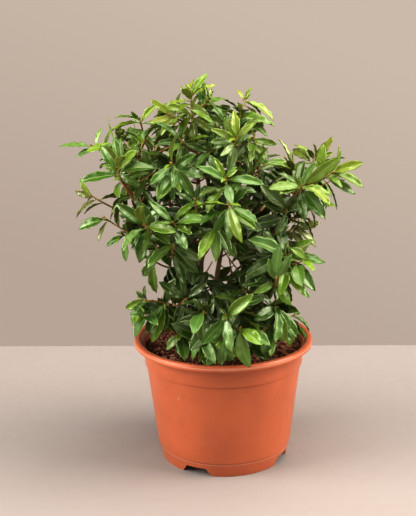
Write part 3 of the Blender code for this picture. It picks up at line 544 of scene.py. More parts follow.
# the shoots: the stem each grows from, its tip in centimetres, how many leaves follow the spiral rule, and the
# leaves seen from the front: degrees in that view from +X towards +Z, degrees towards the viewer, millimetres
shoots = [
    ("stem_leader", (-4.4, -2.0, 57.4), 3, [(45, 10, 40), (120, -10, 26), (165, 20, 41), (345, 30, 42)]),
    ("stem_leader", (-4.3, -4.0, 55.0), 3, [(150, 10, 42), (215, 40, 36), (325, 40, 38)]),
    ("stem_leader", (-7.5, -3.0, 54.8), 3, [(140, 0, 38), (225, 30, 34), (20, 10, 32)]),
    ("stem_back_left", (-12.3, 2.0, 53.6), 3, [(155, 0, 38), (185, 10, 48), (5, 0, 48), (130, -20, 28)]),
    ("stem_back_left", (-15.6, -1.0, 50.4), 3, [(120, 10, 43), (60, 10, 30), (165, 20, 32)]),
    ("stem_back_left", (-19.7, 2.0, 49.6), 3, [(170, 0, 52), (80, 0, 33), (185, 20, 34)]),
    ("stem_left", (-15.1, -8.0, 47.8), 3, [(105, 20, 46), (55, 10, 42), (25, 20, 54), (350, 45, 40),
                                           (180, 5, 60)]),
    ("stem_leader", (-7.3, -10.0, 48.8), 3, [(90, 15, 50), (210, 35, 46), (280, 60, 38), (40, 40, 42),
                                             (355, 35, 50), (230, 50, 58)]),
    ("stem_back_left", (-20.2, 3.0, 41.6), 3, [(135, 0, 36), (160, 10, 36), (205, 10, 46), (15, -10, 46)]),
    ("stem_left", (-18.0, 0.0, 38.8), 3, [(195, 0, 48), (240, 10, 36), (70, 10, 34)]),
    ("stem_left", (-14.9, -3.0, 36.8), 3, [(200, 10, 34), (260, 20, 38), (150, 10, 34)]),
    ("stem_left", (-11.1, -12.0, 40.4), 3, [(135, 20, 56), (5, 35, 50), (195, 35, 50), (285, 60, 36),
                                            (245, 40, 50)]),
    ("stem_leader", (-7.1, -13.0, 41.0), 3, [(130, 20, 52), (30, 30, 54), (355, 50, 36), (300, 55, 44)]),
    ("stem_leader", (-4.0, -12.0, 44.0), 3, [(115, 20, 56), (225, 40, 38), (55, 10, 40)]),
    ("stem_centre", (0.8, -14.0, 43.8), 3, [(170, 20, 54), (275, 45, 52), (330, 30, 48), (235, 45, 44),
                                            (45, 10, 38)]),
    ("stem_centre", (3.4, 0.0, 56.4), 2, [(345, 20, 34), (335, 5, 58)]),
    ("stem_centre", (2.7, -3.0, 54.6), 3, [(350, 5, 54), (340, 15, 50), (160, 10, 38), (220, 30, 36)]),
    ("stem_leader", (-1.9, -3.0, 57.0), 3, [(320, 30, 58), (15, 0, 30)]),
    ("stem_centre", (4.3, -4.0, 51.2), 3, [(355, 10, 40), (320, 20, 40), (225, 40, 36)]),
    ("stem_back_right", (5.3, -1.0, 47.6), 5, [(20, 10, 36), (295, 30, 34)]),
    ("stem_centre", (2.0, -8.0, 52.0), 3, [(45, 10, 34), (120, 10, 36), (150, 10, 40)]),
    ("stem_centre", (0.4, -12.0, 47.0), 3, [(115, 20, 38), (10, 20, 54), (145, 10, 46), (285, 55, 42)]),
    ("stem_right", (14.2, 1.0, 47.6), 4, [(135, 0, 36), (50, 0, 46), (30, 15, 34)]),
    ("stem_right", (10.3, -1.0, 46.5), 3, [(95, 0, 46), (40, 20, 34), (200, 30, 34)]),
    ("stem_right", (16.0, -5.0, 46.2), 3, [(60, 0, 44), (45, 10, 40), (185, 40, 50), (340, 10, 54),
                                           (310, 15, 50)]),
    ("stem_right", (11.4, -9.0, 45.2), 3, [(170, 20, 50), (310, 30, 58), (350, 15, 46), (140, 10, 42)]),
    ("stem_right", (9.3, -8.0, 41.4), 3, [(130, 15, 58), (250, 50, 42), (20, 10, 40)]),
    ("stem_right", (13.8, 0.0, 40.1), 5, [(10, 0, 40), (300, 10, 32)]),
    ("stem_back_right", (11.6, 1.0, 36.4), 3, [(20, 5, 40), (335, 5, 44), (315, 20, 40), (190, 30, 40)]),
    ("stem_low_right", (9.0, -11.0, 35.4), 3, [(140, 25, 66), (185, 35, 68), (5, 15, 58), (325, 30, 64),
                                               (305, 40, 60)]),
    ("stem_low_right", (9.4, -6.0, 30.4), 3, [(330, 10, 46), (295, 20, 38), (215, 40, 38)]),
    ("stem_front", (2.7, -13.0, 28.8), 3, [(140, 20, 46), (185, 30, 42), (40, 20, 40), (235, 50, 42)]),
    ("stem_front", (0.3, -15.0, 27.7), 3, [(270, 40, 54), (225, 35, 53), (195, 20, 34)]),
    ("stem_front", (2.2, -15.0, 25.9), 2, [(275, 30, 60), (330, 35, 46), (205, 50, 36)]),
    ("stem_low_right", (7.1, -10.0, 24.6), 3, [(250, 30, 46), (320, 20, 36), (155, 20, 38)]),
    ("stem_low_right", (7.8, -10.0, 27.3), 2, [(270, 35, 54), (290, 30, 54), (310, 20, 40), (130, 10, 36)]),
    ("stem_low_right", (10.8, -3.0, 23.6), 3, [(340, 0, 38), (305, 10, 44), (285, 20, 44)]),
    ("stem_low_left", (-8.7, -8.0, 27.5), 3, [(225, 30, 56), (240, 40, 62), (250, 50, 38)]),
    ("stem_low_left", (-12.0, -5.0, 27.1), 3, [(205, 0, 34), (215, 10, 42), (245, 10, 38), (295, 30, 36)]),
    ("stem_left", (-9.7, -9.0, 36.5), 3, [(245, 30, 42), (320, 50, 42), (155, 10, 36)]),
    ("stem_left", (-10.4, -7.0, 33.9), 1, [(265, 10, 53), (235, 10, 34)]),
    ("stem_low_left", (-5.6, -10.0, 28.6), 2, [(135, 20, 48), (45, 15, 46), (20, 35, 42), (250, 50, 38)]),
    ("stem_left", (-7.4, -11.0, 37.3), 2, [(210, 30, 50), (340, 30, 50), (320, 40, 56)]),
    ("stem_centre", (-1.1, -13.0, 40.6), 3, [(235, 40, 58), (270, 50, 52), (310, 30, 46)]),
    ("stem_front", (-3.1, -13.0, 28.1), 3, [(265, 40, 50), (305, 40, 46), (180, 20, 38)]),
    ("stem_front", (-3.4, -12.0, 23.6), 2, [(240, 20, 38), (295, 20, 40)]),
    ("stem_low_left", (-6.5, -8.0, 22.8), 3, [(225, 10, 36), (315, 40, 34)]),
    ("stem_front", (-0.4, -14.0, 23.8), 2, [(270, 20, 38), (240, 20, 38), (310, 30, 36)]),
    ("stem_left", (-11.5, -3.0, 51.0), 2, [(60, 10, 40), (120, 10, 38), (200, 30, 36), (300, 45, 38)]),
    ("stem_left", (-10.5, -6.0, 46.5), 2, [(100, 20, 44), (235, 30, 46), (320, 30, 42), (20, 30, 40)]),
    ("stem_leader", (-6.0, -6.0, 51.5), 2, [(130, 15, 48), (95, 10, 42), (160, 25, 40), (40, 20, 42)]),
    ("stem_leader", (-1.5, -6.0, 50.0), 2, [(80, 15, 46), (35, 20, 44), (140, 20, 40), (300, 50, 40)]),
    ("stem_back_left", (-10.0, 12.0, 49.0), 6, []),
    ("stem_back_left", (-1.5, 8.5, 53.5), 6, []),
    ("stem_back_left", (-15.0, 7.0, 43.5), 6, []),
    ("stem_back_left", (-6.0, 16.5, 44.0), 6, []),
    ("stem_back_left", (-12.0, 12.5, 36.0), 6, []),
    ("stem_back_left", (-5.0, 16.5, 34.0), 6, []),
    ("stem_back_left", (-6.5, 9.0, 27.5), 4, []),
    ("stem_back_right", (5.0, 8.0, 52.0), 6, []),
    ("stem_back_right", (14.0, 6.5, 43.0), 6, []),
    ("stem_back_right", (2.0, 17.5, 45.0), 6, []),
    ("stem_back_right", (8.5, 16.0, 39.5), 6, []),
    ("stem_back_right", (13.0, 11.0, 35.0), 6, []),
    ("stem_back_right", (3.5, 17.0, 33.5), 6, []),
    ("stem_back_right", (9.0, 13.5, 28.5), 5, []),
    ("stem_back_right", (3.5, 10.5, 25.0), 4, []),
]

growth = {
    "leafWidth": 0.36,                  # of the leaf's length
    "twigRadius": 1.4 * mm,
    "twigSags": (0.14, 0.0, 0.28, -0.14),
    "lowestTwig": 0.21,                 # share of a stem
    "twigRise": 0.4,
    "lowRootWeight": 1.5,
    "leafStep": 3 * mm,                 # between the petioles of the leaves seen from the front
    "highestLeaf": 0.98,
    "spiralTurn": 137.5,                # degrees
    "spiralSpread": (76.0, 42.0),       # degrees from the twig at its root and at its tip
    "spiralLengths": (42.5 * mm, 60 * mm),
    "spiralShares": (0.97, 0.30, 0.35), # top, and the lowest with or without leaves seen from the front
    "droops": (0.10, 0.60),             # radians
    "waves": (0.012, 0.024),            # of the leaf's length
    "bendsTried": ((0, 0), (12, 0), (-12, 0), (0, 12), (0, -12), (22, 8), (-22, 8), (18, -18), (-18, -18),
                   (0, 26), (32, 0), (-32, 0)),
    "facing": (0.35, 0.75, 0.30),       # along the twig, up to the light, out of the bush
    "facingScatter": 0.48,
    "toViewer": 0.45,                   # how much the leaves seen from the front also face that way
    "gap": 0.3 * mm,
}

# where the viewer's eye is, and the crown's outline from there, in centimetres on the plane through the pot's axis
viewerEye = (-2.3, -158.5, 75.2)
crownOutline = [
    (-6.5, 57.0), (-5.5, 59.5), (-3.5, 60.0), (-1.5, 58.5), (-1.0, 57.0), (3.0, 56.0), (6.0, 54.0),
    (4.5, 52.0), (5.5, 50.0), (7.0, 49.0), (7.5, 47.0), (9.0, 47.0), (9.5, 49.5), (12.0, 50.5),
    (16.5, 50.0), (19.0, 48.5), (18.0, 46.0), (19.0, 43.5), (15.5, 41.5), (16.0, 40.0), (13.5, 39.5),
    (13.0, 37.0), (14.5, 35.5), (13.0, 33.5), (14.5, 29.5), (13.5, 28.0), (10.0, 27.0), (11.5, 24.0),
    (13.0, 19.5), (13.0, 17.0), (7.5, 14.0), (2.0, 13.0), (-4.0, 13.5), (-8.0, 17.0), (-12.5, 18.0),
    (-14.0, 20.0), (-14.5, 23.0), (-13.0, 25.0), (-9.0, 26.0), (-9.0, 28.0), (-8.0, 30.5), (-9.5, 32.5),
    (-13.0, 33.5), (-15.0, 35.0), (-15.0, 38.0), (-17.0, 41.0), (-16.0, 42.5), (-18.0, 44.0),
    (-17.0, 46.0), (-20.0, 48.0), (-20.5, 49.5), (-18.0, 51.5), (-15.0, 53.0), (-10.5, 52.5),
    (-9.5, 55.5),
]

filling = {
    "boldLeaves": [                     # large ones seen from the front: root in centimetres, then as in the shoots
        ("stem_right", (11.4, -9.0, 45.2), (38, 15, 64)),
        ("stem_right", (16.0, -5.0, 46.2), (50, -5, 50)),
        ("stem_right", (16.0, -5.0, 46.2), (344, 0, 54)),
        ("stem_right", (11.4, -9.0, 45.2), (345, 25, 50)),
        ("stem_leader", (-4.4, -2.0, 57.4), (55, 5, 44)),
        ("stem_leader", (-1.9, -3.0, 57.0), (318, 15, 62)),
        ("stem_centre", (3.4, 0.0, 56.4), (338, 10, 54)),
        ("stem_left", (-15.1, -8.0, 47.8), (70, 20, 50)),
        ("stem_left", (-11.1, -12.0, 40.4), (140, 20, 58)),
        ("stem_centre", (0.8, -14.0, 43.8), (270, 35, 60)),
    ],
    "laterLeaves": 5,                   # more leaves down each shoot
    "laterLengths": (34 * mm, 58 * mm),
    "sideShoots": 15,                   # more short shoots on each stem
    "sideReach": (28 * mm, 95 * mm),
    "sideLeaves": 6,
    "youngLeaves": 3,                   # small ones round each bud
    "youngLengths": (13 * mm, 27 * mm),
    "margin": 6 * mm,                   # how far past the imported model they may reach
    "bareViews": (                      # across and up as seen, and how far back, in centimetres
        ((-13, -7), (13, 21), 6),       # the potting mix on the left
        ((10, 13), (15, 21.5), 6),      # and on the right
        ((-19, -14), (39.5, 41.5), 6),
        ((2.5, 5.5), (20.5, 24), -3),   # the low stem on the right
        ((5.5, 8.3), (24, 28.5), -3),
        ((7.8, 9.8), (28.5, 33), -3),
        ((-8.5, -4), (29, 34.5), 1),    # the stems in the middle
        ((-11.4, -7.8), (26.6, 31.5), 99),   # the backdrop between the stems
        ((-4.3, 3.0), (28.5, 35.5), 99),
    ),
    "outerLength": 40 * mm,             # longest on the shoots that stand out
    "youthScatter": 0.16,
    "toViewer": 0.30,
    "leftYouth": 0.6,                   # how young the shoots on the left are beside the others
    "bronzeViews": (((-23, -15), (32, 43)), ((10.5, 16), (33, 39))),
    "bronzeShare": 0.55,
}


def smoothWay(way, share):
    # a smooth curve through the stem's points, read at a share of its course
    last = len(way) - 1
    place = min(max(share, 0), 1) * last
    part = min(int(place), last - 1)
    t = place - part
    before, start, end = way[max(part - 1, 0)], way[part], way[part + 1]
    after = way[min(part + 2, last)]
    return start + 0.5 * ((end - before) * t + (2 * before - 5 * start + 4 * end - after) * t ** 2
                          + (3 * start - before - 3 * end + after) * t ** 3)


def stemWay(name):
    return [Vector(point) * cm for point in stems[name][1]]


def twigRoot(tip, way):
    best = None
    for step in range(10, 49):
        point = smoothWay(way, step / 48)
        reach = (tip - point).length
        cost = reach + growth["lowRootWeight"] * max(0, point.z - (tip.z - growth["twigRise"] * reach))
        if best is None or cost < best[0]:
            best = (cost, point)
    return best[1]


def twigLine(root, tip, sag, steps=9):
    control = (root + tip) / 2 - up * sag * (tip - root).length
    line = []
    for step in range(steps):
        t = step / (steps - 1)
        line.append((1 - t) ** 2 * root + 2 * t * (1 - t) * control + t ** 2 * tip)
    return line


def along(line, share):
    place = min(max(share, 0), 1) * (len(line) - 1)
    part = min(int(place), len(line) - 2)
    step = line[part + 1] - line[part]
    return line[part] + step * (place - part), step.normalized()


def midrib(leaf, share):
    turn = leaf["droop"] * share * 0.8
    reach = leaf["length"] * share
    return leaf["root"] + leaf["heading"] * reach * math.cos(turn) - leaf["top"] * reach * math.sin(turn)


def roughLeaf(leaf, start, grow):
    # a few faces round the leaf, to find what it would touch
    points = [midrib(leaf, start)]
    for share in (0.2, 0.5, 0.8):
        half = leaf["length"] * leaf["width"] / 2 * math.sin(math.pi * share ** 0.85) ** 0.9 + grow
        centre = midrib(leaf, share)
        rise = half * 0.28
        thick = 0.65 * mm + grow
        points += [centre + leaf["side"] * half + leaf["top"] * rise, centre - leaf["top"] * thick,
                   centre - leaf["side"] * half + leaf["top"] * rise, centre + leaf["top"] * thick]
    points.append(midrib(leaf, 1))
    faces = [(1, 4, 0), (2, 1, 0), (3, 2, 0), (4, 3, 0)]
    for low in (1, 5):
        for side in range(4):
            after = (side + 1) % 4
            faces += [(low + side, low + after, low + 4 + after), (low + side, low + 4 + after, low + 4 + side)]
    faces += [(12, 9, 13), (9, 10, 13), (10, 11, 13), (11, 12, 13)]
    return points, faces


standing = []           # what already stands: (stem, whole shape, blade only, centre, reach)


def isFree(stem, whole, own, centre, reach):
    for otherStem, otherWhole, otherOwn, otherCentre, otherReach in standing:
        if (centre - otherCentre).length > reach + otherReach:
            continue
        if otherStem == stem:
            if own is not None and otherOwn is not None and own.overlap(otherOwn):
                return False
        elif whole.overlap(otherWhole):
            return False
    return True


def standRod(stem, line, radii, sides):
    whole = BVHTree.FromPolygons(*rod(line, [radius + growth["gap"] for radius in radii], sides))
    own = BVHTree.FromPolygons(*rod(line, radii, sides))
    centre = (line[0] + line[-1]) / 2
    reach = max((point - centre).length for point in line) + radii[0]
    standing.append((stem, whole, own, centre, reach))


def facingOf(heading, axis, outward, scatter, toViewer):
    alongTwig, toLight, out = growth["facing"]
    facing = axis * alongTwig + up * toLight + outward * out + scatter
    facing.y -= toViewer
    facing -= heading * facing.dot(heading)
    return facing.normalized() if facing.length > 0.25 else sideways(heading)


def viewPlace(place):
    # where the viewer sees it on the plane through the pot's axis, in centimetres
    eye = Vector(viewerEye) * cm
    return (eye + (place - eye) * eye.y / (eye.y - place.y)) / cm


def insideCrown(place):
    # whether it is seen inside the crown's outline
    seen = viewPlace(place)
    inside = False
    for (x, z), (nextX, nextZ) in zip(crownOutline, crownOutline[1:] + crownOutline[:1]):
        if (z > seen.z) != (nextZ > seen.z) and seen.x < x + (nextX - x) * (seen.z - z) / (nextZ - z):
            inside = not inside
    return inside


def keepsOutline(leaf):
    # most of the leaf lies inside, but a shoot that stands out has more small leaves too
    if leaf["extra"] and leaf["length"] < filling["outerLength"] and not insideCrown(leaf["root"]):
        return True
    return insideCrown(midrib(leaf, 0.45)) and insideCrown(midrib(leaf, 0.85))


def withinBounds(leaf):
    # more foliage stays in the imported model's box and off the places where soil and backdrop show
    tip = midrib(leaf, 1) + potAxis
    for value, low, high in zip(tip, *cadBox):
        if not low - filling["margin"] < value < high + filling["margin"]:
            return False
    seen = viewPlace(midrib(leaf, 0.8))
    for (left, right), (bottom, top), back in filling["bareViews"]:
        if left < seen.x < right and bottom < seen.z < top and leaf["root"].y < back * cm:
            return False
    return True


def growLeaf(stem, root, heading, axis, outward, length, chance, seen=False, extra=False, age=0.5):
    droop = chance.uniform(*growth["droops"])
    wave = chance.uniform(*growth["waves"])
    scatter = Vector((chance.gauss(0, 1), chance.gauss(0, 1), chance.gauss(0, 1))) * growth["facingScatter"]
    toViewer = growth["toViewer"] if seen else filling["toViewer"] if extra and root.y < 0 else 0
    for size in (1.0, 0.8):
        for swing, tip in growth["bendsTried"]:
            facing = facingOf(heading, axis, outward, scatter, toViewer)
            turn = Matrix.Rotation(math.radians(swing), 3, facing)
            way = turn @ Matrix.Rotation(math.radians(tip), 3, heading.cross(facing)) @ heading
            facing = facingOf(way, axis, outward, scatter, toViewer)
            side = way.cross(facing).normalized()
            leaf = {"root": root, "heading": way, "side": side, "top": side.cross(way).normalized(),
                    "length": length * size, "width": growth["leafWidth"], "droop": droop, "wave": wave,
                    "age": age, "extra": extra}
            if not seen and not keepsOutline(leaf) or extra and not withinBounds(leaf):
                continue
            whole = BVHTree.FromPolygons(*roughLeaf(leaf, 0, growth["gap"]))
            own = BVHTree.FromPolygons(*roughLeaf(leaf, 0.07, 0))
            centre = midrib(leaf, 0.5)
            if isFree(stem, whole, own, centre, leaf["length"] * 0.6):
                standing.append((stem, whole, own, centre, leaf["length"] * 0.6))
                return leaf
    return None


def spiralHeading(axis, turn, share):
    low, high = growth["spiralSpread"]
    spread = math.radians(low + (high - low) * share)
    first = sideways(axis)
    out = math.cos(turn) * first + math.sin(turn) * axis.cross(first)
    return (axis * math.cos(spread) + out * math.sin(spread)).normalized()


def seenHeading(heading, lean):
    level = math.cos(math.radians(lean))
    return Vector((math.cos(math.radians(heading)) * level, -math.sin(math.radians(lean)),
                   math.sin(math.radians(heading)) * level))


def spiralShare(place, count, belowSeen):
    top, lowSeen, lowUnseen = growth["spiralShares"]
    if belowSeen:
        return top - (top - lowSeen) * (place + 0.9) / (count + 0.4)
    return top - (top - lowUnseen) * place / count


def youthOf(tip, chance):
    # the shoots at the top and round the outside of the crown are the young ones
    across = (tip.x + 30 * mm) / (160 * mm)
    height = (tip.z - 400 * mm) / (170 * mm)
    rim = min(max((math.hypot(across, height) - 0.55) / 0.45, 0), 1) * (1 if height > -0.5 else 0.35)
    if across < -0.3:
        rim *= filling["leftYouth"]
    return 0.12 + 0.05 * height + 0.46 * rim + chance.gauss(0, filling["youthScatter"])


def growBush(potPieces):
    # returns the wood and the leaves of each stem
    wood = {name: [] for name in stems}
    leaves = {name: [] for name in stems}
    for piece in potPieces:
        points = [vertex.co.copy() for vertex in piece.data.vertices]
        tree = BVHTree.FromPolygons(points, [tuple(polygon.vertices) for polygon in piece.data.polygons])
        standing.append((piece.name, tree, tree, up * pot["height"] / 2, 2 * pot["lipRadius"]))
    for name, (radius, way) in stems.items():
        course = stemWay(name)
        line = [course[0] - up * 50 * mm] + [smoothWay(course, step / 23) for step in range(24)]
        radii = [radius] + [radius * (1 - 0.62 * step / 23) for step in range(24)]
        wood[name].append({"line": line, "radii": radii, "sides": 12, "old": 0.0, "young": 0.45, "bud": False})
        standRod(name, line, radii, 6)
    shootsGrown = []
    for name, tip, spiralCount, seen in shoots:
        end = Vector(tip) * cm
        root = twigRoot(end, stemWay(name))
        for sag in growth["twigSags"]:
            line = twigLine(root, end, sag)
            radii = [growth["twigRadius"] * (1.25 - 0.45 * step / 8) for step in range(9)]
            whole = BVHTree.FromPolygons(*rod(line, [radius + growth["gap"] for radius in radii], 5))
            centre = (line[0] + line[-1]) / 2
            if isFree(name, whole, None, centre, (root - end).length * 0.6):
                break
        else:
            continue
        standRod(name, line, radii, 5)
        wood[name].append({"line": line, "radii": radii, "sides": 8, "old": 0.35, "young": 1.0, "bud": True})
        shootsGrown.append((name, line, spiralCount, seen))
    for number, (name, line, spiralCount, seen) in enumerate(shootsGrown):
        tip, axis = along(line, 1)
        youth = youthOf(tip, random.Random(number))
        outward = Vector((tip.x, tip.y, 0)).normalized()
        for place, (heading, lean, length) in enumerate(seen):
            chance = random.Random(1000 * number + place)
            root = along(line, growth["highestLeaf"] - place * growth["leafStep"] / (line[-1] - line[0]).length)[0]
            leaf = growLeaf(name, root, seenHeading(heading, lean), axis, outward, length * mm, chance,
                            seen=True, age=youth - 0.05 * place)
            leaves[name].append(leaf)
    for number, (name, root, (heading, lean, length)) in enumerate(filling["boldLeaves"]):
        root = Vector(root) * cm
        outward = Vector((root.x, root.y, 0)).normalized()
        leaves[name].append(growLeaf(name, root, seenHeading(heading, lean), up, outward, length * mm,
                                     random.Random(9000 + number), seen=True, age=0.55))
    for number, (name, line, spiralCount, seen) in enumerate(shootsGrown):
        axis = along(line, 1)[1]
        outward = Vector((line[-1].x, line[-1].y, 0)).normalized()
        start = random.Random(number).uniform(0, 2 * math.pi)
        youth = youthOf(line[-1], random.Random(number))
        for place in range(spiralCount):
            chance = random.Random(1000 * number + 500 + place)
            share = spiralShare(place, spiralCount, bool(seen))
            root, way = along(line, share)
            heading = spiralHeading(way, start + place * math.radians(growth["spiralTurn"]), share)
            length = chance.uniform(*growth["spiralLengths"])
            leaves[name].append(growLeaf(name, root, heading, axis, outward, length, chance,
                                         age=youth - 0.4 * (1 - share)))
    print("leaves of the packed model:", sum(leaf is not None for own in leaves.values() for leaf in own))
    fillBush(wood, leaves, shootsGrown)
    return wood, {name: [leaf for leaf in own if leaf] for name, own in leaves.items()}


def fillBush(wood, leaves, shootsGrown):
    # young leaves round the buds, more leaves down the shoots and more short shoots inside the bush
    for number, (name, line, spiralCount, seen) in enumerate(shootsGrown):
        chance = random.Random(5000 + number)
        tip, axis = along(line, 1)
        youth = youthOf(tip, random.Random(number))
        outward = Vector((tip.x, tip.y, 0)).normalized()
        for place in range(filling["youngLeaves"]):
            heading = spiralHeading(axis, chance.uniform(0, 6.3), 1.3)
            leaves[name].append(growLeaf(name, along(line, 0.99)[0], heading, axis, outward,
                                         chance.uniform(*filling["youngLengths"]), chance, extra=True,
                                         age=youth + 0.10))
        for place in range(filling["laterLeaves"]):
            share = 0.90 - 0.72 * place / filling["laterLeaves"] + chance.uniform(-0.05, 0.05)
            root, way = along(line, share)
            heading = spiralHeading(way, chance.uniform(0, 6.3), share)
            leaves[name].append(growLeaf(name, root, heading, axis, outward,
                                         chance.uniform(*filling["laterLengths"]), chance, extra=True,
                                         age=youth - 0.45 * (1 - share)))
    for name in stems:
        course = stemWay(name)
        chance = random.Random(len(name) * 97 + 5)
        for number in range(filling["sideShoots"]):
            share = 0.22 + 0.75 * number / filling["sideShoots"]
            root = smoothWay(course, share)
            axis = (smoothWay(course, share + 0.05) - smoothWay(course, share - 0.05)).normalized()
            for attempt in range(4):
                heading = spiralHeading(axis, number * 2.4 + attempt * 1.3, 0.3)
                heading = (heading + up * 0.35).normalized()
                tip = root + heading * chance.uniform(*filling["sideReach"])
                line = twigLine(root, tip, 0.12, 6)
                radii = [growth["twigRadius"] * (1.0 - 0.4 * step / 5) for step in range(6)]
                whole = BVHTree.FromPolygons(*rod(line, [radius + growth["gap"] for radius in radii], 4))
                own = BVHTree.FromPolygons(*rod(line[2:], radii[2:], 4))
                clear = isFree(name, whole, own, (root + tip) / 2, (root - tip).length * 0.6)
                if clear and insideCrown(root) and insideCrown(tip):
                    break
            else:
                continue
            outward = Vector((tip.x, tip.y, 0)).normalized()
            youth = youthOf(tip, chance) - 0.2
            grown = []
            for place in range(filling["sideLeaves"]):
                share = 0.98 - 0.6 * place / filling["sideLeaves"]
                place, way = along(line, share)
                turn = chance.uniform(0, 6.3)
                grown.append(growLeaf(name, place, spiralHeading(way, turn, share), way, outward,
                                      chance.uniform(*filling["laterLengths"]), chance, extra=True,
                                      age=youth))
            kept = [leaf for leaf in grown if leaf]
            if len(kept) > 2:
                standRod(name, line, radii, 4)
                wood[name].append({"line": line, "radii": radii, "sides": 6, "old": 0.35, "young": 0.9, "bud": False})
                leaves[name] += kept
            elif kept:
                del standing[-len(kept):]


# the leaves

leafForm = {
    "across": (-1, -0.72, -0.38, -0.08, 0, 0.08, 0.38, 0.72, 1),    # shares of the half width
    "rows": 16,
    "innerRows": 11,                    # on leaves that hide behind others
    "petiole": 0.10,                    # share of the length
    "petioleRadius": 0.75 * mm,
    "thickness": 0.42 * mm,
    "ribDepth": 0.45 * mm,              # how far the midrib stands out below
    "fold": (0.15, 0.55),               # how far the margins stand above the midrib
    "longWaves": (2.2, 3.6),
    "shortWaves": (5.0, 6.5),
    "shortWave": 0.004,                 # of the length
    "twist": 0.45,                      # radians
    "widths": (0.74, 1.08),
    "tips": (0.64, 0.88),               # from rounded to pointed
    "crownMiddle": (-1, 0, 36),         # centimetres
    # the next three set the painted shade of leaves that others stand outside
    "coverReach": 60 * mm,
    "coverFrom": 3,
    "coverSpan": 14,
}


def isBronze(leaf):
    seen = viewPlace(midrib(leaf, 0.6))
    return any(left < seen.x < right and low < seen.z < high
               for (left, right), (low, high) in filling["bronzeViews"])


def addLeaf(leaf, chance, sheet):
    # the blade as two skins joined at the margin, over its petiole
    form = leafForm
    rows = form["innerRows"] if leaf["extra"] else form["rows"]
    fold = chance.uniform(*form["fold"])
    longWave, shortWave = chance.uniform(*form["longWaves"]), chance.uniform(*form["shortWaves"])
    phases = [chance.uniform(0, 2 * math.pi) for side in range(4)]
    twist = chance.gauss(0, form["twist"])
    width = leaf["width"] * chance.uniform(*form["widths"]) * (1.20 - 0.38 * leaf["height"])
    tone = chance.random()
    pointed = chance.uniform(*form["tips"])
    columns = len(form["across"])
    start = len(sheet["points"])
    upper, lower = [], []
    for row in range(rows):
        t = row / (rows - 1)
        share = form["petiole"] + (1 - form["petiole"]) * t
        turn = 1.6 * leaf["droop"] * share
        normal = leaf["top"] * math.cos(turn) + leaf["heading"] * math.sin(turn)
        spin = Matrix.Rotation(twist * (t - 0.3), 3, leaf["heading"])
        side, normal = spin @ leaf["side"], spin @ normal
        half = leaf["length"] * width / 2 * (4 * t * (1 - t)) ** (pointed + 0.40 * max(0, t - 0.4))
        half = max(half, 0.5 * mm * (1 - 0.6 * t))
        centre = midrib(leaf, share)
        for place in form["across"]:
            edge = abs(place)
            sway = phases[0] if place > 0 else phases[1]
            ripple = phases[2] if place > 0 else phases[3]
            rise = half * fold * edge ** 1.3
            rise += leaf["wave"] * leaf["length"] * edge ** 1.8 * math.sin(2 * math.pi * longWave * t + sway) * min(1, 4 * t)
            rise += form["shortWave"] * leaf["length"] * edge ** 4 * math.sin(2 * math.pi * shortWave * t + ripple)
            reach = half * place * (1 + 0.018 * math.sin(2 * math.pi * shortWave * t + ripple + 1) * edge ** 3)
            point = centre + side * reach + normal * rise
            rib = form["ribDepth"] * max(0, 1 - edge * 10) * (1 - 0.8 * t)
            thick = form["thickness"] * (1 - 0.55 * edge)
            sheet["points"].append(point + normal * (thick / 2 + rib * 0.25))
            sheet["points"].append(point - normal * (thick / 2 + rib))
            sheet["place"] += [(place, t, 0.0)] * 2
        first = start + row * columns * 2
        upper.append([first + 2 * column for column in range(columns)])
        lower.append([first + 2 * column + 1 for column in range(columns)])
    for row in range(rows - 1):
        for column in range(columns - 1):
            a, b = upper[row][column], upper[row][column + 1]
            c, d = upper[row + 1][column + 1], upper[row + 1][column]
            sheet["faces"].append((a, b, c, d))
            a, b = lower[row][column], lower[row][column + 1]
            c, d = lower[row + 1][column + 1], lower[row + 1][column]
            sheet["faces"].append((d, c, b, a))
            sheet["slots"] += [0, 1]
        for column, turned in ((0, False), (columns - 1, True)):
            face = (upper[row][column], upper[row + 1][column], lower[row + 1][column], lower[row][column])
            sheet["faces"].append(face[::-1] if turned else face)
            sheet["slots"].append(0)
    for row, turned in ((0, True), (rows - 1, False)):
        for column in range(columns - 1):
            face = (upper[row][column], upper[row][column + 1], lower[row][column + 1], lower[row][column])
            sheet["faces"].append(face[::-1] if turned else face)
            sheet["slots"].append(0)
    line = [midrib(leaf, share) - leaf["top"] * 0.3 * mm for share in (0.0, 0.04, 0.08, 0.15, 0.24)]
    petioleRadius = form["petioleRadius"] * (0.6 + 0.4 * leaf["length"] / (50 * mm))
    points, faces = rod(line, [petioleRadius * size for size in (1.15, 1.0, 0.95, 0.75, 0.35)], 6)
    base = len(sheet["points"])
    sheet["points"] += points
    sheet["faces"] += [tuple(corner + base for corner in face) for face in faces]
    sheet["slots"] += [2] * len(faces)
    sheet["place"] += [(0.0, -1.0, 0.0)] * len(points)
    bronze = chance.random() < filling["bronzeShare"] and isBronze(leaf)
    mood = (-1.0 if bronze else leaf["age"], tone, leaf["depth"])
    sheet["mood"] += [mood] * (len(sheet["points"]) - start)
    sheet["coverShade"] += [leaf["coverShade"]] * (len(sheet["points"]) - start)


leafColours = {
    "coverShadeColour": (0.013, 0.028, 0.002),
    "bronze": (0.120, 0.115, 0.030),
    "deep": (0.032, 0.100, 0.004),
    "blueGreen": (0.082, 0.168, 0.036),
    "grown": (0.118, 0.212, 0.006),
    "fresh": (0.160, 0.222, 0.010),
    "young": (0.245, 0.260, 0.024),
    "rib": (0.30, 0.36, 0.08),
    "margin": (0.34, 0.38, 0.08),
    "below": (0.185, 0.225, 0.032),
    "belowOld": (0.100, 0.140, 0.028),
    "petiole": (0.30, 0.20, 0.050),
}


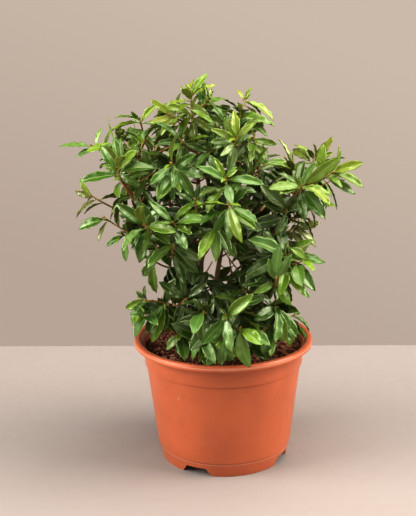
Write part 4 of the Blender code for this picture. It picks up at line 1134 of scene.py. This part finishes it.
def leafSurface(name, below):
    material, tree, shader = newMaterial(name)
    colours = leafColours
    place = addNode(tree, "ShaderNodeSeparateXYZ", {0: addNode(tree, "ShaderNodeAttribute", attribute_name="place").outputs["Vector"]})
    mood = addNode(tree, "ShaderNodeSeparateXYZ", {0: addNode(tree, "ShaderNodeAttribute", attribute_name="mood").outputs["Vector"]})
    across, lengthways = place.outputs[0], place.outputs[1]
    age, tone, depth = mood.outputs[0], mood.outputs[1], mood.outputs[2]
    coverShade = addNode(tree, "ShaderNodeAttribute", attribute_name="coverShade").outputs["Fac"]
    edge = calculate(tree, "ABSOLUTE", across)
    clouds = grain(tree, 9 * mm, 4)
    if below:
        colour = blendColours(tree, age, colours["belowOld"], colours["below"])
    else:
        old = blendColours(tree, between(tree, tone, 0.2, 0.5), colours["deep"], colours["blueGreen"])
        old = blendColours(tree, between(tree, tone, 0.55, 0.9), old, colours["grown"])
        fresh = blendColours(tree, between(tree, tone, 0.3, 1.0), colours["fresh"], colours["young"])
        colour = blendColours(tree, between(tree, age, 0.20, 0.85), old, fresh)
        # painted shade: the low and inner leaves are drawn darker green
        colour = blendColours(tree, between(tree, depth, 0, 0.5, 0.45, 0), colour, colours["deep"])
    colour = blendColours(tree, between(tree, age, -0.9, -0.4, 0.85, 0), colour, colours["bronze"])
    colour = blendColours(tree, between(tree, clouds, 0.40, 0.75, 0, 0.14), colour, colours["young"])
    # side veins run out and forwards from the midrib
    slant = calculate(tree, "MULTIPLY", edge, 1.35)
    sideShift = calculate(tree, "MULTIPLY", calculate(tree, "SIGN", across), 0.22)
    rank = calculate(tree, "ADD", calculate(tree, "SUBTRACT", calculate(tree, "MULTIPLY", lengthways, 9.0), slant), sideShift)
    vein = calculate(tree, "PINGPONG", rank, 0.5)
    veinLine = between(tree, vein, 0.0, 0.075, 1, 0)
    veinLine = calculate(tree, "MULTIPLY", veinLine, between(tree, edge, 0.75, 1.0, 1, 0))
    # painted shade: leaves that others stand outside are drawn nearly black
    colour = blendColours(tree, calculate(tree, "MULTIPLY", coverShade, 0.80), colour, colours["coverShadeColour"])
    rib = between(tree, edge, 0.05, 0.12, 1, 0)
    # the pale margin is painted light: light showing through the thin leaf edge
    rim = between(tree, edge, 0.90, 0.97, 0, 1)
    colour = blendColours(tree, calculate(tree, "MULTIPLY", veinLine, 0.12), colour, colours["rib"])
    colour = blendColours(tree, calculate(tree, "MULTIPLY", rib, 0.36), colour, colours["rib"])
    colour = blendColours(tree, calculate(tree, "MULTIPLY", rim, 0.28), colour, colours["margin"])
    tree.links.new(colour, shader.inputs["Base Color"])
    gloss = between(tree, clouds, 0.3, 0.7, 0.48, 0.58) if below else between(tree, clouds, 0.3, 0.7, 0.27, 0.38)
    tree.links.new(gloss, shader.inputs["Roughness"])
    shader.inputs["Specular IOR Level"].default_value = 0.35 if below else 0.8
    shader.inputs["Specular Tint"].default_value = (0.94, 1.0, 0.72, 1)
    height = calculate(tree, "MULTIPLY_ADD", vein, 0.6, calculate(tree, "MULTIPLY", rib, -0.5))
    net = roughen(tree, shader, grain(tree, 0.9 * mm, 2), 0.04 * mm, 0.4)
    roughen(tree, shader, height, 0.24 * mm, 0.5, net)
    return material


def petioleSurface():
    material, tree, shader = newMaterial("petiole")
    mood = addNode(tree, "ShaderNodeSeparateXYZ", {0: addNode(tree, "ShaderNodeAttribute", attribute_name="mood").outputs["Vector"]})
    colour = blendColours(tree, mood.outputs[1], leafColours["petiole"], leafColours["rib"])
    tree.links.new(colour, shader.inputs["Base Color"])
    tree.links.new(between(tree, grain(tree, 1.5 * mm), 0.3, 0.7, 0.40, 0.55), shader.inputs["Roughness"])
    roughen(tree, shader, grain(tree, 0.8 * mm, 2), 0.08 * mm, 0.5)
    return material


def paintCoverShade(leaves):
    # painted shade: how thickly other leaves stand outside each one, 0 to 1
    centres = [midrib(leaf, 0.5) for leaf in leaves]
    places = KDTree(len(centres))
    for number, centre in enumerate(centres):
        places.insert(centre, number)
    places.balance()
    middle = Vector(leafForm["crownMiddle"]) * cm
    for leaf, centre in zip(leaves, centres):
        outward = (centre - middle).normalized()
        outer = 0
        for other, number, reach in places.find_range(centre, leafForm["coverReach"]):
            if (other - centre).dot(outward) > 8 * mm:
                outer += 1
        leaf["coverShade"] = min(max((outer - leafForm["coverFrom"]) / leafForm["coverSpan"], 0), 1)
        # less painted shade towards the top, where the light falls from above
        leaf["coverShade"] *= 1 - 0.6 * min(max((centre.z - 400 * mm) / (120 * mm), 0), 1)


def makeLeaves(name, leaves, materials):
    chance = random.Random(len(leaves) * 31 + 7)
    sheet = {"points": [], "faces": [], "slots": [], "place": [], "mood": [], "coverShade": []}
    for leaf in leaves:
        middle = midrib(leaf, 0.6)
        outside = (Vector((middle.x, middle.y, 0)).length - 60 * mm) / (110 * mm)
        leaf["height"] = min(max((middle.z - 200 * mm) / (330 * mm), 0), 1)
        # low depth for low leaves near the middle, which get painted shade
        leaf["depth"] = min(max(0.25 + 0.45 * outside + 0.45 * leaf["height"], 0), 1)
        addLeaf(leaf, chance, sheet)
    piece = newPiece(name + "_leaves", sheet["points"], sheet["faces"], materials, sheet["slots"])
    paintPoints(piece, "place", sheet["place"])
    paintPoints(piece, "mood", sheet["mood"])
    paintPoints(piece, "coverShade", sheet["coverShade"])
    return piece


# the wood

woodForm = {
    "oldColour": (0.230, 0.140, 0.065),
    "midColour": (0.330, 0.150, 0.040),
    "youngColour": (0.360, 0.230, 0.045),
    "knots": 0.16,                      # how much the wood swells and narrows
    "budLength": 6.5 * mm,
    "budRadius": 1.25 * mm,
    "budColour": (0.42, 0.24, 0.07),
}


def barkSurface():
    material, tree, shader = newMaterial("bark")
    age = addNode(tree, "ShaderNodeAttribute", attribute_name="youth").outputs["Fac"]
    ridges = grain(tree, 3 * mm, 6, (1, 1, 0.30))
    spots = grain(tree, 1.7 * mm, 2)
    colour = blendColours(tree, between(tree, age, 0.05, 0.5), woodForm["oldColour"], woodForm["midColour"])
    colour = blendColours(tree, between(tree, age, 0.55, 1.0), colour, woodForm["youngColour"])
    colour = blendColours(tree, between(tree, age, 1.2, 1.6), colour, woodForm["budColour"])
    colour = blendColours(tree, between(tree, ridges, 0.35, 0.65, 0.45, 0), colour, (0.035, 0.022, 0.012))
    colour = blendColours(tree, between(tree, spots, 0.66, 0.76, 0, 0.4), colour, (0.30, 0.24, 0.15))
    tree.links.new(colour, shader.inputs["Base Color"])
    tree.links.new(between(tree, age, 0.2, 1.0, 0.85, 0.50), shader.inputs["Roughness"])
    roughen(tree, shader, ridges, 0.5 * mm, 0.7)
    return material


def makeWood(name, branches, material):
    chance = random.Random(len(name) + 11)
    points, faces, youth = [], [], []
    for branch in branches:
        line, radii = branch["line"], branch["radii"]
        swollen = [radius * (1 + woodForm["knots"] * chance.uniform(-0.4, 1) * (place % 2)) for place, radius in enumerate(radii)]
        swollen[0] = radii[0]
        rodPoints, rodFaces = rod(line, swollen, branch["sides"])
        faces += [tuple(corner + len(points) for corner in face) for face in rodFaces]
        points += rodPoints
        for place in range(len(line)):
            share = place / (len(line) - 1)
            youth += [branch["old"] + (branch["young"] - branch["old"]) * share] * branch["sides"]
        if branch["bud"]:
            tip, axis = along(line, 1)
            size = chance.uniform(0.8, 1.2)
            budLine = [tip + axis * woodForm["budLength"] * size * (step / 5 - 0.1) for step in range(6)]
            budRadii = [woodForm["budRadius"] * size * value for value in (0.9, 1.15, 1.25, 1.0, 0.6, 0.08)]
            budPoints, budFaces = rod(budLine, budRadii, 8)
            faces += [tuple(corner + len(points) for corner in face) for face in budFaces]
            points += budPoints
            youth += [1.7] * len(budPoints)
    piece = newPiece(name + "_wood", points, faces, [material])
    paintPoints(piece, "youth", youth)
    return piece


def makeBush(potPieces):
    wood, leaves = growBush(potPieces)
    paintCoverShade([leaf for own in leaves.values() for leaf in own])
    leafMaterials = [leafSurface("leafAbove", False), leafSurface("leafBelow", True), petioleSurface()]
    bark = barkSurface()
    for name in stems:
        for piece in (makeWood(name, wood[name], bark), makeLeaves(name, leaves[name], leafMaterials)):
            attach(piece, "root")
            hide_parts(name)
        print(name, len(wood[name]), "branches,", len(leaves[name]), "leaves")


# the floor, the backdrop, the lights and the camera

studio = {
    "cameraPlace": (-0.0225, -1.5847, 0.7524),      # from the pot's axis
    "pitch": 15.2,                  # degrees down
    "roll": -0.74,
    "focalPixels": 1060,
    "framePixels": 516,             # the longer side
    "floorReach": 3,                # metres to the front and sides
    "floorBehind": 0.49,            # where the floor ends
    "floorTurn": 1.7,               # degrees, the right end of that line nearer
    "floorColour": (0.286, 0.244, 0.217),
    "dustColour": (0.27, 0.215, 0.185),
    "backdropColour": (0.554, 0.463, 0.400),
    # painted light: the backdrop is lighter towards the top right
    "backdropPaintedLight": (0.659, 0.565, 0.491),     # towards the top right
    "lights": {                     # place, aim, width, height, watts, colour
        "rightSoftbox": ((2.3, -0.40, 1.6), (0, 0, 0.25), 1.6, 2.0, 126, (1.0, 0.99, 0.97)),
        "leftSoftbox": ((-2.2, -0.6, 1.3), (0, 0, 0.25), 1.6, 1.4, 100, (0.98, 0.99, 1.0)),
        "overhead": ((0.20, -0.20, 2.3), (0.0, 0, 0.3), 2.8, 1.5, 84, (1.0, 0.99, 0.98)),
        "frontFill": ((0.2, -3.0, 0.8), (0, 0, 0.25), 1.6, 1.0, 17, (1.0, 0.99, 0.97)),
    },
    "ambient": (0.150, 0.147, 0.143),
    "contrast": 0.74,               # below 1 for deeper shadows
    "exposure": 0.05,
}


def floorSurface():
    material, tree, shader = newMaterial("studioFloor")
    dust = between(tree, grain(tree, 60 * mm, 6), 0.3, 0.7, 0, 0.10)
    tree.links.new(blendColours(tree, dust, studio["floorColour"], studio["dustColour"]), shader.inputs["Base Color"])
    tree.links.new(between(tree, grain(tree, 20 * mm), 0.3, 0.7, 0.80, 0.90), shader.inputs["Roughness"])
    roughen(tree, shader, grain(tree, 3 * mm, 5), 0.3 * mm, 0.3)
    return material


def makeFloor():
    reach = studio["floorReach"]
    turn = reach * math.tan(math.radians(studio["floorTurn"]))
    corners = [(-reach, -reach, 0), (reach, -reach, 0), (reach, studio["floorBehind"] - turn, 0),
               (-reach, studio["floorBehind"] + turn, 0)]
    newPiece("floor", corners, [(0, 1, 2, 3)], [floorSurface()])


def makeBackdrop():
    # a pale backdrop as the world's colour all round, below and just above the horizon, lighter towards the top right
    # as painted light, and dim air overhead
    world = bpy.data.worlds.new("studioAir")
    world.use_nodes = True
    tree = world.node_tree
    way = addNode(tree, "ShaderNodeSeparateXYZ", {0: addNode(tree, "ShaderNodeTexCoord").outputs["Generated"]})
    # painted light: the share grows towards the right and the top
    share = calculate(tree, "MULTIPLY_ADD", way.outputs["X"], 1.3, 0.25 * 3.25 + 0.25)
    share = calculate(tree, "MULTIPLY_ADD", way.outputs["Z"], 3.25, share)
    colour = blendColours(tree, share, studio["backdropColour"], studio["backdropPaintedLight"])
    colour = blendColours(tree, between(tree, way.outputs["Z"], 0.06, 0.22), colour, studio["ambient"])
    tree.links.new(colour, tree.nodes["Background"].inputs["Color"])
    bpy.context.scene.world = world


def makeLights():
    for name, (place, aim, width, height, watts, colour) in studio["lights"].items():
        light = bpy.data.lights.new(name, "AREA")
        light.shape = "RECTANGLE"
        light.size, light.size_y = width, height
        light.energy = watts
        light.color = colour
        lamp = bpy.data.objects.new(name, light)
        lamp.location = Vector(place) + potAxis
        lamp.rotation_euler = (Vector(aim) - Vector(place)).to_track_quat("-Z", "Y").to_euler()
        bpy.context.collection.objects.link(lamp)


def makeCamera():
    lens = bpy.data.cameras.new("camera")
    lens.sensor_fit = "VERTICAL"
    lens.sensor_height = 36
    lens.lens = studio["focalPixels"] / studio["framePixels"] * 36
    camera = bpy.data.objects.new("camera", lens)
    tilt = Matrix.Rotation(math.radians(90 - studio["pitch"]), 4, "X") @ Matrix.Rotation(math.radians(studio["roll"]), 4, "Z")
    camera.matrix_world = Matrix.Translation(Vector(studio["cameraPlace"]) + potAxis) @ tilt
    bpy.context.collection.objects.link(camera)
    bpy.context.scene.camera = camera
    bpy.context.scene.view_settings.view_transform = "Standard"
    bpy.context.scene.view_settings.gamma = studio["contrast"]
    bpy.context.scene.view_settings.exposure = studio["exposure"]


makeCamera()
makeFloor()
makeBackdrop()
makeLights()
makeBush([makePot(), makeMix()])
